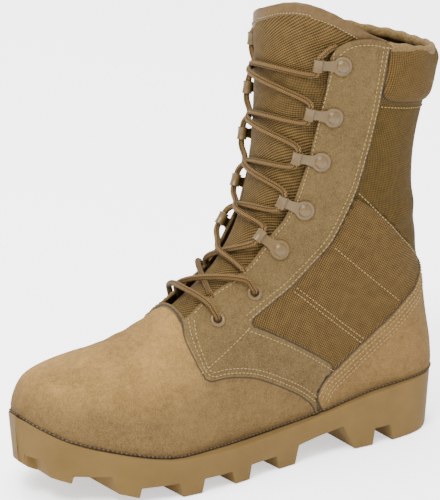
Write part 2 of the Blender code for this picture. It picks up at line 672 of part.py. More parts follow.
def main():
    for obj in list(bpy.data.objects):
        bpy.data.objects.remove(obj)
    parts = bpy.data.collections.new("jungle_boot")
    cutters = bpy.data.collections.new("cutters")
    for collection in (parts, cutters):
        bpy.context.scene.collection.children.link(collection)
    rubber = material("tan_rubber", (0.38, 0.25, 0.12), 0.55)
    nylon = material("coyote_nylon", (0.24, 0.15, 0.07), 0.85)
    suede = material("tan_suede", (0.42, 0.30, 0.17), 0.95)
    tongue_cloth = material("tongue_nylon", (0.27, 0.17, 0.07), 0.85)
    painted = material("painted_metal", (0.42, 0.31, 0.19), 0.35, 0.3)
    braid = material("lace_braid", (0.30, 0.20, 0.10), 0.8)
    board = material("insole_board", (0.35, 0.26, 0.16), 0.9)

    finish(make_outsole(parts, cutters), rubber, 30.0)

    sheet = upper_sheet("upper_sheet", cutters)
    face_outwards(sheet)
    seat_block = slab("seat_block", cutters, lambda s: -60.0, seat, -12.0, count=90)
    collar_block = prism("collar_block", COLLAR_OUTLINE, cutters, -90, 90)

    form = upper_sheet("insole_form", cutters, closed=True)
    shrink = form.modifiers.new("shrink", "DISPLACE")
    shrink.mid_level = 0.0
    shrink.strength = -(WALL + 0.5) * MM
    form = baked(form)
    insole = slab("insole", parts, seat, lambda s: seat(s) + INSOLE_THICKNESS, 2.0, count=16)
    insole = boolean(insole, form, "INTERSECT")
    finish(insole, board, 30.0)

    tree = BVHTree.FromPolygons([v.co for v in sheet.data.vertices], [p.vertices for p in sheet.data.polygons])
    frames = {-1: [], 1: []}
    eye_frames = {-1: [], 1: []}
    for spots, store, offset in ((HOOKS, frames, 2 * GAP + PANEL), (EYELETS, eye_frames, GAP + PANEL + EYELET_LIFT)):
        for station, height in spots:
            frame, number, angle = seat_frame(tree, station, height, offset)
            store[-1].append(frame)
            store[1].append(inner_frame(tree, number, angle, offset, frame))

    panels = [
        ("facing_outer", FACING_OUTLINE, (-90, 0), PANEL, suede),
        ("facing_inner", FACING_OUTLINE, (0, 90), PANEL, suede),
        ("counter", COUNTER_OUTLINE, (-90, 90), PANEL, suede),
        ("cuff", CUFF_OUTLINE, (-90, 90), CUFF_PAD, nylon),
    ]
    solids = {}
    upper = thicken(copy_of(sheet, "upper", parts), -WALL, 0.0)
    upper = boolean(upper, seat_block, "DIFFERENCE")
    solids["upper"] = boolean(upper, collar_block, "DIFFERENCE")
    for name, outline, (low, high), thickness, mat in panels:
        panel = thicken(copy_of(sheet, name, parts), GAP, GAP + thickness)
        panel = boolean(panel, prism(name + "_outline", outline, cutters, low, high), "INTERSECT")
        panel = boolean(panel, seat_block, "DIFFERENCE")
        solids[name] = boolean(panel, collar_block, "DIFFERENCE")
    drill = button("drill", [(HOLE_RADIUS, -8.0), (HOLE_RADIUS, 8.0)], cutters, 10)
    for side, facing in ((-1, "facing_outer"), (1, "facing_inner")):
        for frame in eye_frames[side]:
            cutter = copy_of(drill, "hole", cutters)
            cutter.data.transform(frame)
            if frame.determinant() < 0:
                cutter.data.flip_normals()
            for name in ("upper", facing):
                solids[name] = boolean(solids[name], cutter, "DIFFERENCE")
    finish(solids["upper"], nylon)
    for name, outline, sides, thickness, mat in panels:
        finish(solids[name], mat)

    finish(make_tongue(parts), tongue_cloth)

    hook = hook_shape(cutters)
    eyelet = revolve("eyelet_shape", EYELET_PROFILE, cutters, 10)
    for side, word in ((-1, "outer"), (1, "inner")):
        for shape, store, label, lift in ((hook, frames, "hook", 0.0), (eyelet, eye_frames, "eyelet", 0.0)):
            for i, frame in enumerate(store[side]):
                made = copy_of(shape, f"{label}_{word}_{i + 1}", parts)
                made.data.transform(frame)
                if frame.determinant() < 0:
                    made.data.flip_normals()
                finish(made, painted, 35.0)

    for lace in make_lace(frames, eye_frames, parts):
        finish(lace, braid)

    for obj in cutters.objects:
        obj.hide_render = True
        obj.display_type = "WIRE"


main()
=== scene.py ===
# %% [markdown]
# # A jungle boot in suede and nylon
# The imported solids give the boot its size. This script dresses them. It rebuilds the upper as one fine skin
# from the same section table, then adds stitches, hooks, laces and cloth, suede and rubber made with nodes.

# %% Load the frame
import math

import bmesh
import bpy
import numpy as np
from mathutils import Matrix, Vector
from mathutils.bvhtree import BVHTree


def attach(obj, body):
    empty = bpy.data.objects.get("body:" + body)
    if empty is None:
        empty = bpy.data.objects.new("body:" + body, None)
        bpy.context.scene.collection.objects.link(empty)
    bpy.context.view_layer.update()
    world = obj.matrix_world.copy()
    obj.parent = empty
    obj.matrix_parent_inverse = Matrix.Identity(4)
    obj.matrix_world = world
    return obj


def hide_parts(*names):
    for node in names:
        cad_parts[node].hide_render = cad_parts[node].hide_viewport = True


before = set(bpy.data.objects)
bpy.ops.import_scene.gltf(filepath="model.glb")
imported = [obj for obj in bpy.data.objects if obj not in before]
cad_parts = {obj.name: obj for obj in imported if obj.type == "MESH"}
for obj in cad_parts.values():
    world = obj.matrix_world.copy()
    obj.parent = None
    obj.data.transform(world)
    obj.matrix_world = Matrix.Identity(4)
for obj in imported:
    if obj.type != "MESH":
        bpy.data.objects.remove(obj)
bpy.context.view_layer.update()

# %% [markdown]
# ## Sizes
# Everything is in millimetres until a mesh is made. A station is measured forward of the back of the heel.

# %% Named sizes
MM = 0.001
TURN = 2 * math.pi
HALF_LENGTH = 156.0
WALL = 2.0
PANEL = 1.6
CUFF_PAD = 3.2
THROAT_START = 9.15
SHAFT_ROW = 19
TOP_ROW = 26.3
LACE = 2.0
THREAD = 0.37

SEAT = np.array([
    (0, 41.5), (60, 37.7), (120, 28.5), (180, 26.0), (220, 26.3), (236, 28.8), (260, 34.5), (290, 43.5),
    (304, 51.0), (312, 56.5),
])

# %% The sections of the upper, toe to collar
# Columns: front station and height, back station and height, half width outside and inside, share of the
# height where it is widest, front and back powers, half width of the throat.
SECTIONS = np.array([
    (309.2, 57.0, 309.2, 53.0, 0.4, 0.4, 0.45, 2.1, 3.0, 0.2),
    (308.3, 62.0, 308.3, 44.0, 7.0, 9.0, 0.45, 2.1, 3.0, 3.0),
    (305.5, 69.0, 305.5, 38.0, 15.0, 18.5, 0.45, 2.1, 3.2, 6.0),
    (300.5, 75.5, 300.5, 34.0, 22.0, 27.0, 0.44, 2.15, 3.4, 9.0),
    (292.0, 81.0, 292.0, 30.0, 30.0, 36.0, 0.42, 2.2, 3.6, 12.0),
    (278.0, 84.3, 278.0, 25.0, 38.5, 43.5, 0.40, 2.25, 3.8, 14.0),
    (260.0, 87.0, 260.0, 20.0, 46.0, 48.5, 0.36, 2.25, 4.0, 15.5),
    (240.0, 90.0, 240.0, 15.5, 51.5, 49.5, 0.34, 2.15, 4.0, 17.0),
    (220.0, 97.0, 219.0, 13.5, 52.5, 47.5, 0.32, 2.05, 4.0, 18.0),
    (200.0, 108.0, 196.0, 13.0, 50.0, 43.0, 0.32, 1.95, 4.0, 18.0),
    (180.0, 122.5, 171.0, 13.0, 46.5, 38.5, 0.34, 1.95, 4.0, 16.9),
    (164.0, 135.5, 144.0, 14.0, 43.0, 36.0, 0.37, 2.0, 4.0, 19.7),
    (154.5, 148.0, 114.0, 16.0, 40.0, 36.0, 0.40, 2.1, 4.0, 21.9),
    (148.5, 157.0, 82.0, 20.0, 38.0, 36.5, 0.42, 2.3, 3.8, 22.7),
    (144.5, 164.5, 51.0, 23.5, 37.0, 36.5, 0.43, 2.5, 3.6, 23.5),
    (142.0, 169.5, 25.0, 26.0, 37.0, 36.5, 0.44, 2.7, 3.3, 24.7),
    (139.5, 175.0, 7.5, 34.0, 37.3, 37.0, 0.45, 2.8, 2.9, 26.1),
    (137.3, 181.0, 4.8, 53.0, 37.7, 37.5, 0.46, 2.9, 2.6, 27.7),
    (135.0, 188.0, 8.3, 77.0, 38.3, 38.0, 0.47, 2.9, 2.4, 29.3),
    (133.3, 197.0, 11.6, 103.0, 39.2, 39.0, 0.48, 2.8, 2.3, 30.8),
    (132.3, 207.0, 14.7, 129.0, 40.3, 40.3, 0.49, 2.65, 2.2, 32.3),
    (131.6, 219.0, 17.2, 154.0, 41.5, 41.5, 0.50, 2.5, 2.2, 34.0),
    (131.2, 233.0, 20.0, 178.0, 42.7, 42.7, 0.50, 2.35, 2.2, 35.5),
    (131.2, 248.0, 18.0, 201.0, 43.8, 43.8, 0.50, 2.25, 2.2, 37.0),
    (131.2, 264.0, 13.0, 222.0, 44.7, 44.7, 0.50, 2.2, 2.2, 38.7),
    (131.2, 279.0, 7.0, 240.0, 45.3, 45.3, 0.50, 2.2, 2.2, 39.7),
    (131.2, 298.0, 4.0, 260.0, 45.8, 45.8, 0.50, 2.2, 2.2, 40.2),
    (130.5, 316.0, 4.0, 272.0, 45.8, 45.8, 0.50, 2.2, 2.2, 40.2),
])

# %% Side outlines (station, height) of the panels
FACING_OUTLINE = [
    (198.3, 112), (198.3, 105), (203, 96), (202, 85), (197, 70.5), (181, 71.5), (160.5, 67.5), (140, 57),
    (123, 47), (112, 37.5), (108, 27), (105, 27), (111, 43.6), (104.6, 54), (94, 60.8), (111, 72.8),
    (130, 85), (146, 94), (161, 101.5), (141.5, 112), (126.5, 120), (111, 132.7), (98, 145),
    (90, 161), (81, 180.5), (76.7, 196.6), (72, 214), (69, 227), (66.5, 239), (63.6, 256),
    (59.5, 277), (57, 310), (150, 310), (150, 190), (175, 150),
]
COUNTER_OUTLINE = [
    (-20, 20), (98, 20), (103, 30.5), (109.6, 43.6), (103.5, 53), (93, 60), (73, 74), (55, 86), (41, 97),
    (28, 104), (21, 111), (17, 117.5), (-20, 119),
]
CUFF_OUTLINE = [(-20, 223), (5, 225.5), (31, 231.5), (65.6, 239), (62.8, 256),
                 (58.7, 277), (56, 310), (-20, 310)]
VAMP = [
    (345, -30), (345, 150), (214, 150), (198.3, 112), (202, 96), (201, 85), (196, 72), (181, 73), (160.5, 69),
    (140, 58.5), (123, 48.5), (112, 39), (106, 26), (104, -30),
]
STRAP = [(79, 180), (18, 120), (10, 112), (34, 98), (43, 97), (95.3, 142), (88, 160)]
LOWER_NYLON = [(80, 179), (18, 119), (-20, 110), (-20, 20), (170, 20), (170, 104), (141, 112),
               (98, 145), (88, 165)]


# %% [markdown]
# ## The shape
# A smooth curve runs through each column of the section table, so the skin can be drawn at any fineness.

# %% Curves through tables
def smooth(table, x):
    x = np.clip(np.asarray(x, float), 0.0, len(table) - 1.0)
    step = np.diff(table, axis=0)
    slope = np.zeros_like(table)
    slope[1:-1] = 0.5 * (step[:-1] + step[1:])
    slope[0], slope[-1] = step[0], step[-1]
    i = np.minimum(x.astype(int), len(table) - 2)
    t = (x - i)[..., None]
    a, b = table[i], table[i + 1]
    return (a * (2 * t**3 - 3 * t**2 + 1) + b * (3 * t**2 - 2 * t**3)
            + slope[i] * (t**3 - 2 * t**2 + t) + slope[i + 1] * (t**3 - t**2))


def surface(number, angle):
    """Points in mm of the upper: angle 0 at the front, pi at the back, negative on the inner side."""
    row = smooth(SECTIONS, number)
    fs, fz, bs, bz, outer, inner, wide, fp, bp, _ = np.moveaxis(row, -1, 0)
    c, s = np.cos(angle), np.sin(angle)
    power = np.where(c >= 0, fp, bp)
    reach = np.abs(c) ** (2 / power)
    half = np.abs(s) ** (2 / power) * np.where(s >= 0, outer, inner)
    ms, mz = bs + wide * (fs - bs), bz + wide * (fz - bz)
    es, ez = np.where(c >= 0, fs, bs), np.where(c >= 0, fz, bz)
    y = np.where(s >= 0, -half, half)
    return np.stack([HALF_LENGTH - (ms + (es - ms) * reach), y, mz + (ez - mz) * reach], -1)


def throat(number, side=-1):
    row = smooth(SECTIONS, number)
    half = row[..., 4] if side < 0 else row[..., 5]
    return np.arcsin(np.minimum(row[..., 9] / half, 0.99) ** (row[..., 7] / 2))


def normals(number, angle):
    """Outward normals of the upper."""
    number, angle = np.broadcast_arrays(np.asarray(number, float), np.asarray(angle, float))
    n1, n2 = np.clip(number + 0.04, 0, None), np.clip(number - 0.04, 0, None)
    up = surface(n1, angle) - surface(n2, angle)
    round_it = surface(number, angle + 0.012) - surface(number, angle - 0.012)
    n = np.cross(up, round_it)
    n /= np.maximum(np.linalg.norm(n, axis=-1, keepdims=True), 1e-9)
    row = smooth(SECTIONS, number)
    middle = np.stack([
        HALF_LENGTH - (row[..., 0] + row[..., 2]) / 2, 0 * number, (row[..., 1] + row[..., 3]) / 2], -1)
    out = surface(number, angle) - middle
    return n * np.where((n * out).sum(-1, keepdims=True) < 0, -1.0, 1.0)


def rounded(outline, times=2):
    """An outline with its corners cut, so that it runs in a smooth curve."""
    p = np.array(outline, float)
    for _ in range(times):
        q = np.roll(p, -1, axis=0)
        p = np.stack([0.8 * p + 0.2 * q, 0.2 * p + 0.8 * q], 1).reshape(-1, 2)
    return p


def depth_inside(points, outline):
    """Distance in mm of each side-view point inside an outline, negative outside."""
    p, a = points[:, None, :], rounded(outline)[None]
    b = np.roll(a, -1, axis=1)
    ab = b - a
    t = np.clip(((p - a) * ab).sum(-1) / (ab**2).sum(-1), 0, 1)
    d = np.sqrt(((p - a - t[..., None] * ab) ** 2).sum(-1)).min(1)
    px, py = p[..., 0], p[..., 1]
    crosses = (a[..., 1] > py) != (b[..., 1] > py)
    at = a[..., 0] + (py - a[..., 1]) * ab[..., 0] / np.where(np.abs(ab[..., 1]) < 1e-9, 1e-9, ab[..., 1])
    inside = (crosses & (px < at)).sum(1) % 2 == 1
    return np.where(inside, d, -d)


def step(d, width=1.2):
    t = np.clip(d / width + 0.5, 0, 1)
    return t * t * (3 - 2 * t)


def in_scene(name, data):
    """A new object in the scene."""
    obj = bpy.data.objects.new(name, data)
    bpy.context.scene.collection.objects.link(obj)
    return obj


def bell(x, middle, width):
    return np.exp(-((x - middle) / width) ** 2)


def make_mesh(name, points, faces, mats=()):
    mesh = bpy.data.meshes.new(name)
    mesh.from_pydata([tuple(p) for p in np.asarray(points) * MM], [], [tuple(f) for f in faces])
    mesh.validate()
    for mat in mats:
        mesh.materials.append(mat)
    mesh.shade_smooth()
    return in_scene(name, mesh)


def ring_faces(start, rings, sides):
    """The faces between rings of points that follow one another from an index."""
    faces = []
    for i in range(rings - 1):
        for k in range(sides):
            a, b = start + i * sides + k, start + i * sides + (k + 1) % sides
            faces.append((a, b, b + sides, a + sides))
    return faces


def outward(obj):
    bm = bmesh.new()
    bm.from_mesh(obj.data)
    bmesh.ops.recalc_face_normals(bm, faces=bm.faces)
    bm.to_mesh(obj.data)
    bm.free()
    return obj


def attribute(obj, name, values):
    data = obj.data.attributes.new(name, "FLOAT", "POINT")
    data.data.foreach_set("value", np.asarray(values, np.float32).ravel())


def bake(obj):
    """Applies the modifiers of an object to its mesh."""
    mesh = bpy.data.meshes.new_from_object(obj.evaluated_get(bpy.context.evaluated_depsgraph_get()))
    obj.modifiers.clear()
    obj.data = mesh
    return mesh


def tree_of(mesh):
    """A search tree for casting rays at a mesh."""
    return BVHTree.FromPolygons([v.co for v in mesh.vertices], [p.vertices for p in mesh.polygons])


def distance_along(points, axis=0):
    """Distance run along a path, or along the rows or columns of a grid, from 0."""
    steps = np.linalg.norm(np.diff(points, axis=axis), axis=-1)
    first = np.zeros_like(np.take(steps, [0], axis))
    return np.concatenate([first, np.cumsum(steps, axis)], axis)


def set_uv(mesh, uv):
    """A UV map from one (u, v) for each vertex."""
    corners = np.empty(len(mesh.loops), np.int32)
    mesh.loops.foreach_get("vertex_index", corners)
    mesh.uv_layers.new(name="UVMap").data.foreach_set("uv", uv[corners].astype(np.float32).ravel())


def solid(obj, thickness, offset=-1.0):
    """Gives a sheet a wall, in the mesh itself."""
    wall = obj.modifiers.new("wall", "SOLIDIFY")
    wall.thickness, wall.offset, wall.use_even_offset = thickness * MM, offset, False
    wall.use_quality_normals = True
    bake(obj).shade_smooth()
    return obj


# %% [markdown]
# ## Materials
# Each shared effect is a node group: a weave from two waves and a slanting rib, and a nap from noise.

# %% Shader helpers
def group_start(name, inputs, outputs):
    tree = bpy.data.node_groups.new(name, "ShaderNodeTree")
    for label, kind, value in inputs:
        socket = tree.interface.new_socket(label, in_out="INPUT", socket_type=kind)
        if value is not None:
            socket.default_value = value
    for label, kind in outputs:
        tree.interface.new_socket(label, in_out="OUTPUT", socket_type=kind)
    return tree, tree.nodes.new("NodeGroupInput"), tree.nodes.new("NodeGroupOutput")


def node(tree, kind, links=None, **settings):
    """A node with settings by attribute, and its inputs set or linked by name or number."""
    made = tree.nodes.new(kind)
    for key, value in settings.items():
        setattr(made, key, value)
    for key, value in (links or {}).items():
        socket = made.inputs[key]
        if isinstance(value, bpy.types.NodeSocket):
            tree.links.new(value, socket)
        else:
            socket.default_value = value
    return made


def mix(tree, factor, a, b):
    made = node(tree, "ShaderNodeMix", {0: factor, 6: a, 7: b}, data_type="RGBA")
    return made.outputs[2]


def mix_normals(tree, factor, a, b):
    return node(tree, "ShaderNodeMix", {0: factor, 4: a, 5: b}, data_type="VECTOR").outputs[1]


def math_node(tree, operation, *values, clamp=False):
    made = node(tree, "ShaderNodeMath", dict(enumerate(values)), operation=operation, use_clamp=clamp)
    return made.outputs[0]


def times(tree, a, b):
    return math_node(tree, "MULTIPLY", a, b)


def noise_at(tree, place, **values):
    return node(tree, "ShaderNodeTexNoise", {"Vector": place, **values}).outputs[0]


# %% The weave group: warp and weft threads, seen as colour and height
def weave_group():
    tree, gi, go = group_start("weave", [
        ("Scale", "NodeSocketFloat", 1.0), ("Slant", "NodeSocketFloat", 0.0)], [
        ("Height", "NodeSocketFloat"), ("Shade", "NodeSocketFloat")])
    uv = node(tree, "ShaderNodeUVMap", uv_map="UVMap").outputs[0]
    turned = node(tree, "ShaderNodeVectorRotate", {"Vector": uv, "Angle": gi.outputs["Slant"]},
                  rotation_type="Z_AXIS").outputs[0]
    scaled = node(tree, "ShaderNodeVectorMath", {0: turned, "Scale": gi.outputs["Scale"]},
                  operation="SCALE").outputs[0]
    xyz = node(tree, "ShaderNodeSeparateXYZ", {0: scaled})
    warp = math_node(tree, "SINE", times(tree, xyz.outputs[0], TURN))
    weft = math_node(tree, "SINE", times(tree, xyz.outputs[1], TURN))
    cells = times(tree, warp, weft)
    noise = noise_at(tree, scaled, Scale=0.35, Detail=3.0)
    across = math_node(tree, "ADD", xyz.outputs[0], xyz.outputs[1])
    rib = math_node(tree, "SINE", times(tree, across, TURN))
    threads = math_node(tree, "ADD", times(tree, cells, 0.38), times(tree, rib, 0.34))
    height = math_node(tree, "ADD", threads, times(tree, noise, 0.6))
    tree.links.new(height, go.inputs["Height"])
    shade = math_node(tree, "MULTIPLY_ADD", height, 0.95, 0.18, clamp=True)
    tree.links.new(shade, go.inputs["Shade"])
    return tree


# %% The nap group: blotches where suede is brushed, and fine fibres
def nap_group():
    tree, _, go = group_start("suede_nap", [], [
        ("Blotch", "NodeSocketFloat"), ("Fibre", "NodeSocketFloat")])
    co = node(tree, "ShaderNodeTexCoord").outputs["Object"]
    wide = noise_at(tree, co, Scale=32.0, Detail=6.0, Roughness=0.62, Distortion=0.6)
    fine = noise_at(tree, co, Scale=1500.0, Detail=2.0, Roughness=0.7)
    mid = noise_at(tree, co, Scale=260.0, Detail=4.0, Roughness=0.65)
    both = math_node(tree, "ADD", times(tree, wide, 0.62), times(tree, mid, 0.38))
    tree.links.new(both, go.inputs["Blotch"])
    fibre = math_node(tree, "ADD", times(tree, fine, 0.95), times(tree, mid, 0.12))
    tree.links.new(fibre, go.inputs["Fibre"])
    return tree


WEAVE, NAP = weave_group(), nap_group()


def material(name):
    mat = bpy.data.materials.new(name)
    mat.use_nodes = True
    return mat, mat.node_tree, mat.node_tree.nodes["Principled BSDF"]


def contrast(tree, value, low, high):
    return node(tree, "ShaderNodeMapRange", {0: value, 1: low, 2: high, 3: 0.0, 4: 1.0}).outputs[0]


def attr(tree, name):
    return node(tree, "ShaderNodeAttribute", attribute_name=name).outputs["Fac"]


def mask_of(tree, name):
    """A soft mask from a signed distance stored on the skin: 1 inside the panel, 0 outside."""
    return contrast(tree, attr(tree, name), -0.3, 0.3)


def set_shader(tree, shader, colour, normal, rough, specular):
    tree.links.new(colour, shader.inputs["Base Color"])
    tree.links.new(normal, shader.inputs["Normal"])
    shader.inputs["Roughness"].default_value = rough
    shader.inputs["Specular IOR Level"].default_value = specular


def bump(tree, height, strength, distance, normal=None):
    links = {"Height": height, "Strength": strength, "Distance": distance}
    if normal is not None:
        links["Normal"] = normal
    return node(tree, "ShaderNodeBump", links).outputs[0]


def cloth_parts(tree, dark, light, scale, slant, depth):
    """Colour and normal of a woven cloth."""
    weave = node(tree, "ShaderNodeGroup", {"Scale": scale, "Slant": slant}, node_tree=WEAVE)
    return mix(tree, weave.outputs["Shade"], dark, light), bump(tree, weave.outputs["Height"], depth, 0.0006)


# %% Simple materials: cloths, rubber, metal, lace and thread
def cloth(name, dark, light, scale=0.6, slant=0.0, depth=0.7):
    mat, tree, shader = material(name)
    colour, normal = cloth_parts(tree, dark, light, scale, slant, depth)
    set_shader(tree, shader, colour, normal, 0.8, 0.1)
    return mat


def plain(name, dark, light, rough, scale=60.0, depth=0.1, coat=0.0):
    mat, tree, shader = material(name)
    co = node(tree, "ShaderNodeTexCoord").outputs["Object"]
    noise = noise_at(tree, co, Scale=scale, Detail=6.0)
    colour = mix(tree, contrast(tree, noise, 0.3, 0.7), dark, light)
    set_shader(tree, shader, colour, bump(tree, noise, depth, 0.0003), rough, 0.3 if coat else 0.15)
    shader.inputs["Coat Weight"].default_value = coat
    return mat


RUBBER = plain("tan_rubber", (0.0780, 0.0458, 0.0132, 1), (0.0960, 0.0576, 0.0172, 1), 0.85, 40.0, 0.15)
METAL = plain("sand_metal", (0.0612, 0.0355, 0.0098, 1), (0.0742, 0.0439, 0.0128, 1), 0.38, 90.0, 0.03,
              coat=0.05)
THREAD_MAT = plain("cream_thread", (0.1464, 0.0987, 0.0406, 1), (0.2050, 0.1448, 0.0642, 1), 0.75, 900.0, 0.5)
DARK_THREAD = plain("dark_welt", (0.014, 0.010, 0.006, 1), (0.032, 0.022, 0.012, 1), 0.9, 900.0, 0.5)
WELT_THREAD = plain("welt_thread", (0.040, 0.026, 0.013, 1), (0.085, 0.056, 0.028, 1), 0.9, 900.0, 0.5)
LINING = plain("lining", (0.055, 0.034, 0.013, 1), (0.090, 0.057, 0.022, 1), 0.9, 500.0, 0.3)
BINDING = plain("binding_leather", (0.0554, 0.0317, 0.0107, 1), (0.0762, 0.0448, 0.0157, 1), 0.55, 300.0,
                0.35)


# %% The upper's material: suede where the panels are, woven nylon between them
def upper_material():
    mat, tree, shader = material("suede_and_nylon")
    nap = node(tree, "ShaderNodeGroup", {}, node_tree=NAP)
    blotch = contrast(tree, nap.outputs["Blotch"], 0.37, 0.63)
    panel = mix(tree, blotch, (0.0408, 0.0251, 0.0080, 1), (0.0700, 0.0444, 0.0154, 1))
    vamp = mix(tree, blotch, (0.1079, 0.0591, 0.0144, 1), (0.2034, 0.1153, 0.0315, 1))
    heel = mix(tree, blotch, (0.0690, 0.0373, 0.0104, 1), (0.1178, 0.0656, 0.0198, 1))
    # Painted shade: the vamp's colour is darkened where its surface turns from facing up to facing sideways.
    outward_normal = node(tree, "ShaderNodeNewGeometry").outputs["Normal"]
    facing_up = node(tree, "ShaderNodeSeparateXYZ", {0: outward_normal}).outputs[2]
    painted_side_shade = times(tree, contrast(tree, facing_up, 0.75, 0.15), 0.66)
    vamp = mix(tree, painted_side_shade, vamp, (0.037, 0.0230, 0.0092, 1))
    suede = mix(tree, mask_of(tree, "vamp"), panel, vamp)
    suede = mix(tree, mask_of(tree, "counter"), suede, heel)
    fibre = contrast(tree, nap.outputs["Fibre"], 0.36, 0.72)
    suede = mix(tree, fibre, mix(tree, 0.34, suede, (0.030, 0.018, 0.007, 1)),
                mix(tree, 0.16, suede, (0.36, 0.25, 0.12, 1)))
    suede_normal = bump(tree, nap.outputs["Fibre"], 0.7, 0.0009)
    shaft, shaft_n = cloth_parts(tree, (0.0186, 0.0105, 0.0021, 1), (0.0777, 0.0465, 0.0112, 1), 0.46,
                                 0.78, 1.0)
    low, low_n = cloth_parts(tree, (0.0198, 0.0113, 0.0030, 1), (0.1030, 0.0616, 0.0196, 1), 0.47, 0.25, 1.0)
    cuff, _ = cloth_parts(tree, (0.0271, 0.0152, 0.0037, 1), (0.0908, 0.0537, 0.0154, 1), 0.46, 0.78, 1.0)
    low_mask = mask_of(tree, "low_nylon")
    nylon = mix(tree, low_mask, shaft, low)
    nylon = mix(tree, mask_of(tree, "cuff"), nylon, cuff)
    nylon_n = mix_normals(tree, low_mask, shaft_n, low_n)
    mask = contrast(tree, attr(tree, "suede"), -0.25, 0.25)
    colour = mix(tree, mask, nylon, suede)
    edge = math_node(tree, "ABSOLUTE", attr(tree, "edge"))
    line = contrast(tree, edge, 0.75, 0.25)
    colour = mix(tree, times(tree, line, 0.82), colour, (0.017, 0.016, 0.015, 1))
    shade = times(tree, attr(tree, "foot"), 0.5)
    colour = mix(tree, shade, colour, (0.035, 0.022, 0.011, 1))
    normal = mix_normals(tree, mask, nylon_n, suede_normal)
    set_shader(tree, shader, colour, normal, 0.92, 0.08)
    return mat


UPPER_MAT = upper_material()
print("materials", len(bpy.data.materials))

# %% [markdown]
# ## The upper
# The skin is a fine grid. Panels stand out as steps where a point lies inside their side outline.

# %% Skin grid
COLLAR_LINE = np.array([(-5, 259.5), (2, 260), (31, 267), (57, 274.5), (66, 279), (74, 281.5), (83, 282.3),
                        (91, 281.5), (97.5, 278.5), (101.5, 273), (104, 266), (107, 262)])
ROWS, TOE_ROWS, HALF, BRIDGE = 230, 73, 96, 9


LOWEST_COLLAR_ROW, LAST_ROW, MM_PER_ROW = 22.5, 26.9, 22


def last_row(angle):
    """Section number at which a line of constant angle meets the collar."""
    n = np.full(np.shape(angle), 26.0)
    for _ in range(30):
        p = surface(n, angle)
        goal = np.interp(HALF_LENGTH - p[..., 0], COLLAR_LINE[:, 0], COLLAR_LINE[:, 1])
        n = np.clip(n + (goal - p[..., 2]) / MM_PER_ROW, LOWEST_COLLAR_ROW, LAST_ROW)
    return n


def skin_grid():
    toe = THROAT_START * np.linspace(0, 1, TOE_ROWS + 1)
    numbers = np.concatenate([toe[:-1], np.linspace(THROAT_START, TOP_ROW, ROWS - TOE_ROWS)])
    share = np.linspace(1, 0, HALF + 1)
    share = 0.75 * share + 0.25 * (1 - np.cos(share * math.pi / 2))
    start_o, start_i = throat(numbers), throat(numbers, 1)
    outer = start_o[:, None] + (math.pi - start_o[:, None]) * share[None]
    inner = -(start_i[:, None] + (math.pi - start_i[:, None]) * share[None, ::-1])
    over = [start_o[:, None] * (1 - k / BRIDGE) for k in range(1, BRIDGE)] + [0 * start_o[:, None]]
    over += [-start_i[:, None] * k / BRIDGE for k in range(1, BRIDGE)]
    angle = np.concatenate([outer] + over + [inner[:, :-1]], 1)
    number = np.repeat(numbers[:, None], angle.shape[1], 1)
    top = last_row(angle[-1])
    stretched = SHAFT_ROW + (number - SHAFT_ROW) * (top[None] - SHAFT_ROW) / (TOP_ROW - SHAFT_ROW)
    number = np.where(number > SHAFT_ROW, stretched, number)
    return number, angle


number, angle = skin_grid()
base = surface(number, angle)
normal = normals(number, angle)
flat = base.reshape(-1, 3)
side_view = np.stack([HALF_LENGTH - flat[:, 0], flat[:, 2]], 1)
OUTLINES = {"facing": FACING_OUTLINE, "counter": COUNTER_OUTLINE, "cuff": CUFF_OUTLINE, "vamp": VAMP,
            "strap": STRAP, "low_nylon": LOWER_NYLON}
depth = {key: depth_inside(side_view, outline) for key, outline in OUTLINES.items()}
seat_z = np.interp(side_view[:, 0], SEAT[:, 0], SEAT[:, 1])
above = side_view[:, 1] - seat_z


# %% Lift of each point: panel steps, padded cuff, and soft creases where the ankle bends
def wave(points, scale, seed):
    """Smooth random swell over space, between about -1 and 1."""
    rng = np.random.default_rng(seed)
    total = np.zeros(len(points))
    for _ in range(7):
        direction = rng.normal(size=3)
        direction /= np.linalg.norm(direction)
        total += np.sin(points @ direction / scale * rng.uniform(0.7, 1.4) + rng.uniform(0, 6.3))
    return total / 3.5


off_facing, off_counter = 1 - step(depth["facing"]), 1 - step(depth["counter"])
lift = PANEL * step(depth["facing"]) + PANEL * step(depth["counter"]) * off_facing
lift += 0.3 * step(depth["strap"], 2.4) * off_facing * off_counter
cuff_depth = np.clip(depth["cuff"], 0, None)
rim = np.interp(side_view[:, 0], COLLAR_LINE[:, 0], COLLAR_LINE[:, 1]) - side_view[:, 1]
puff = np.sqrt(np.clip(cuff_depth / 6.0, 0, 1)) * np.sqrt(np.clip((rim + 0.6) / 7.0, 0.12, 1))
lift += (CUFF_PAD + 0.25) * puff * (depth["cuff"] > 0) * off_facing
gather = bell(rim, 4, 7) * (depth["cuff"] > 0)
lift += 1.0 * gather * np.sin(flat[:, 1] * 0.42 + 1.5 * wave(flat, 14, 3)) * (side_view[:, 0] < 62)
lift += 0.35 * wave(flat, 16, 1) * step(above - 10, 12)
crease = bell(above, 62, 34) * bell(side_view[:, 0], 222, 20)
lift += 0.3 * crease * np.sin(side_view[:, 0] * 0.42 + 0.8 * wave(flat, 20, 5))
ankle = bell(side_view[:, 1], 150, 28) * bell(side_view[:, 0], 50, 40)
lift += 0.7 * ankle * np.sin(side_view[:, 1] * 0.23 + side_view[:, 0] * 0.08 + wave(flat, 18, 9))
lifted = flat + normal.reshape(-1, 3) * lift[:, None]

# %% Gathered lining that rolls over the top of the collar
ROLL_STEPS = 520


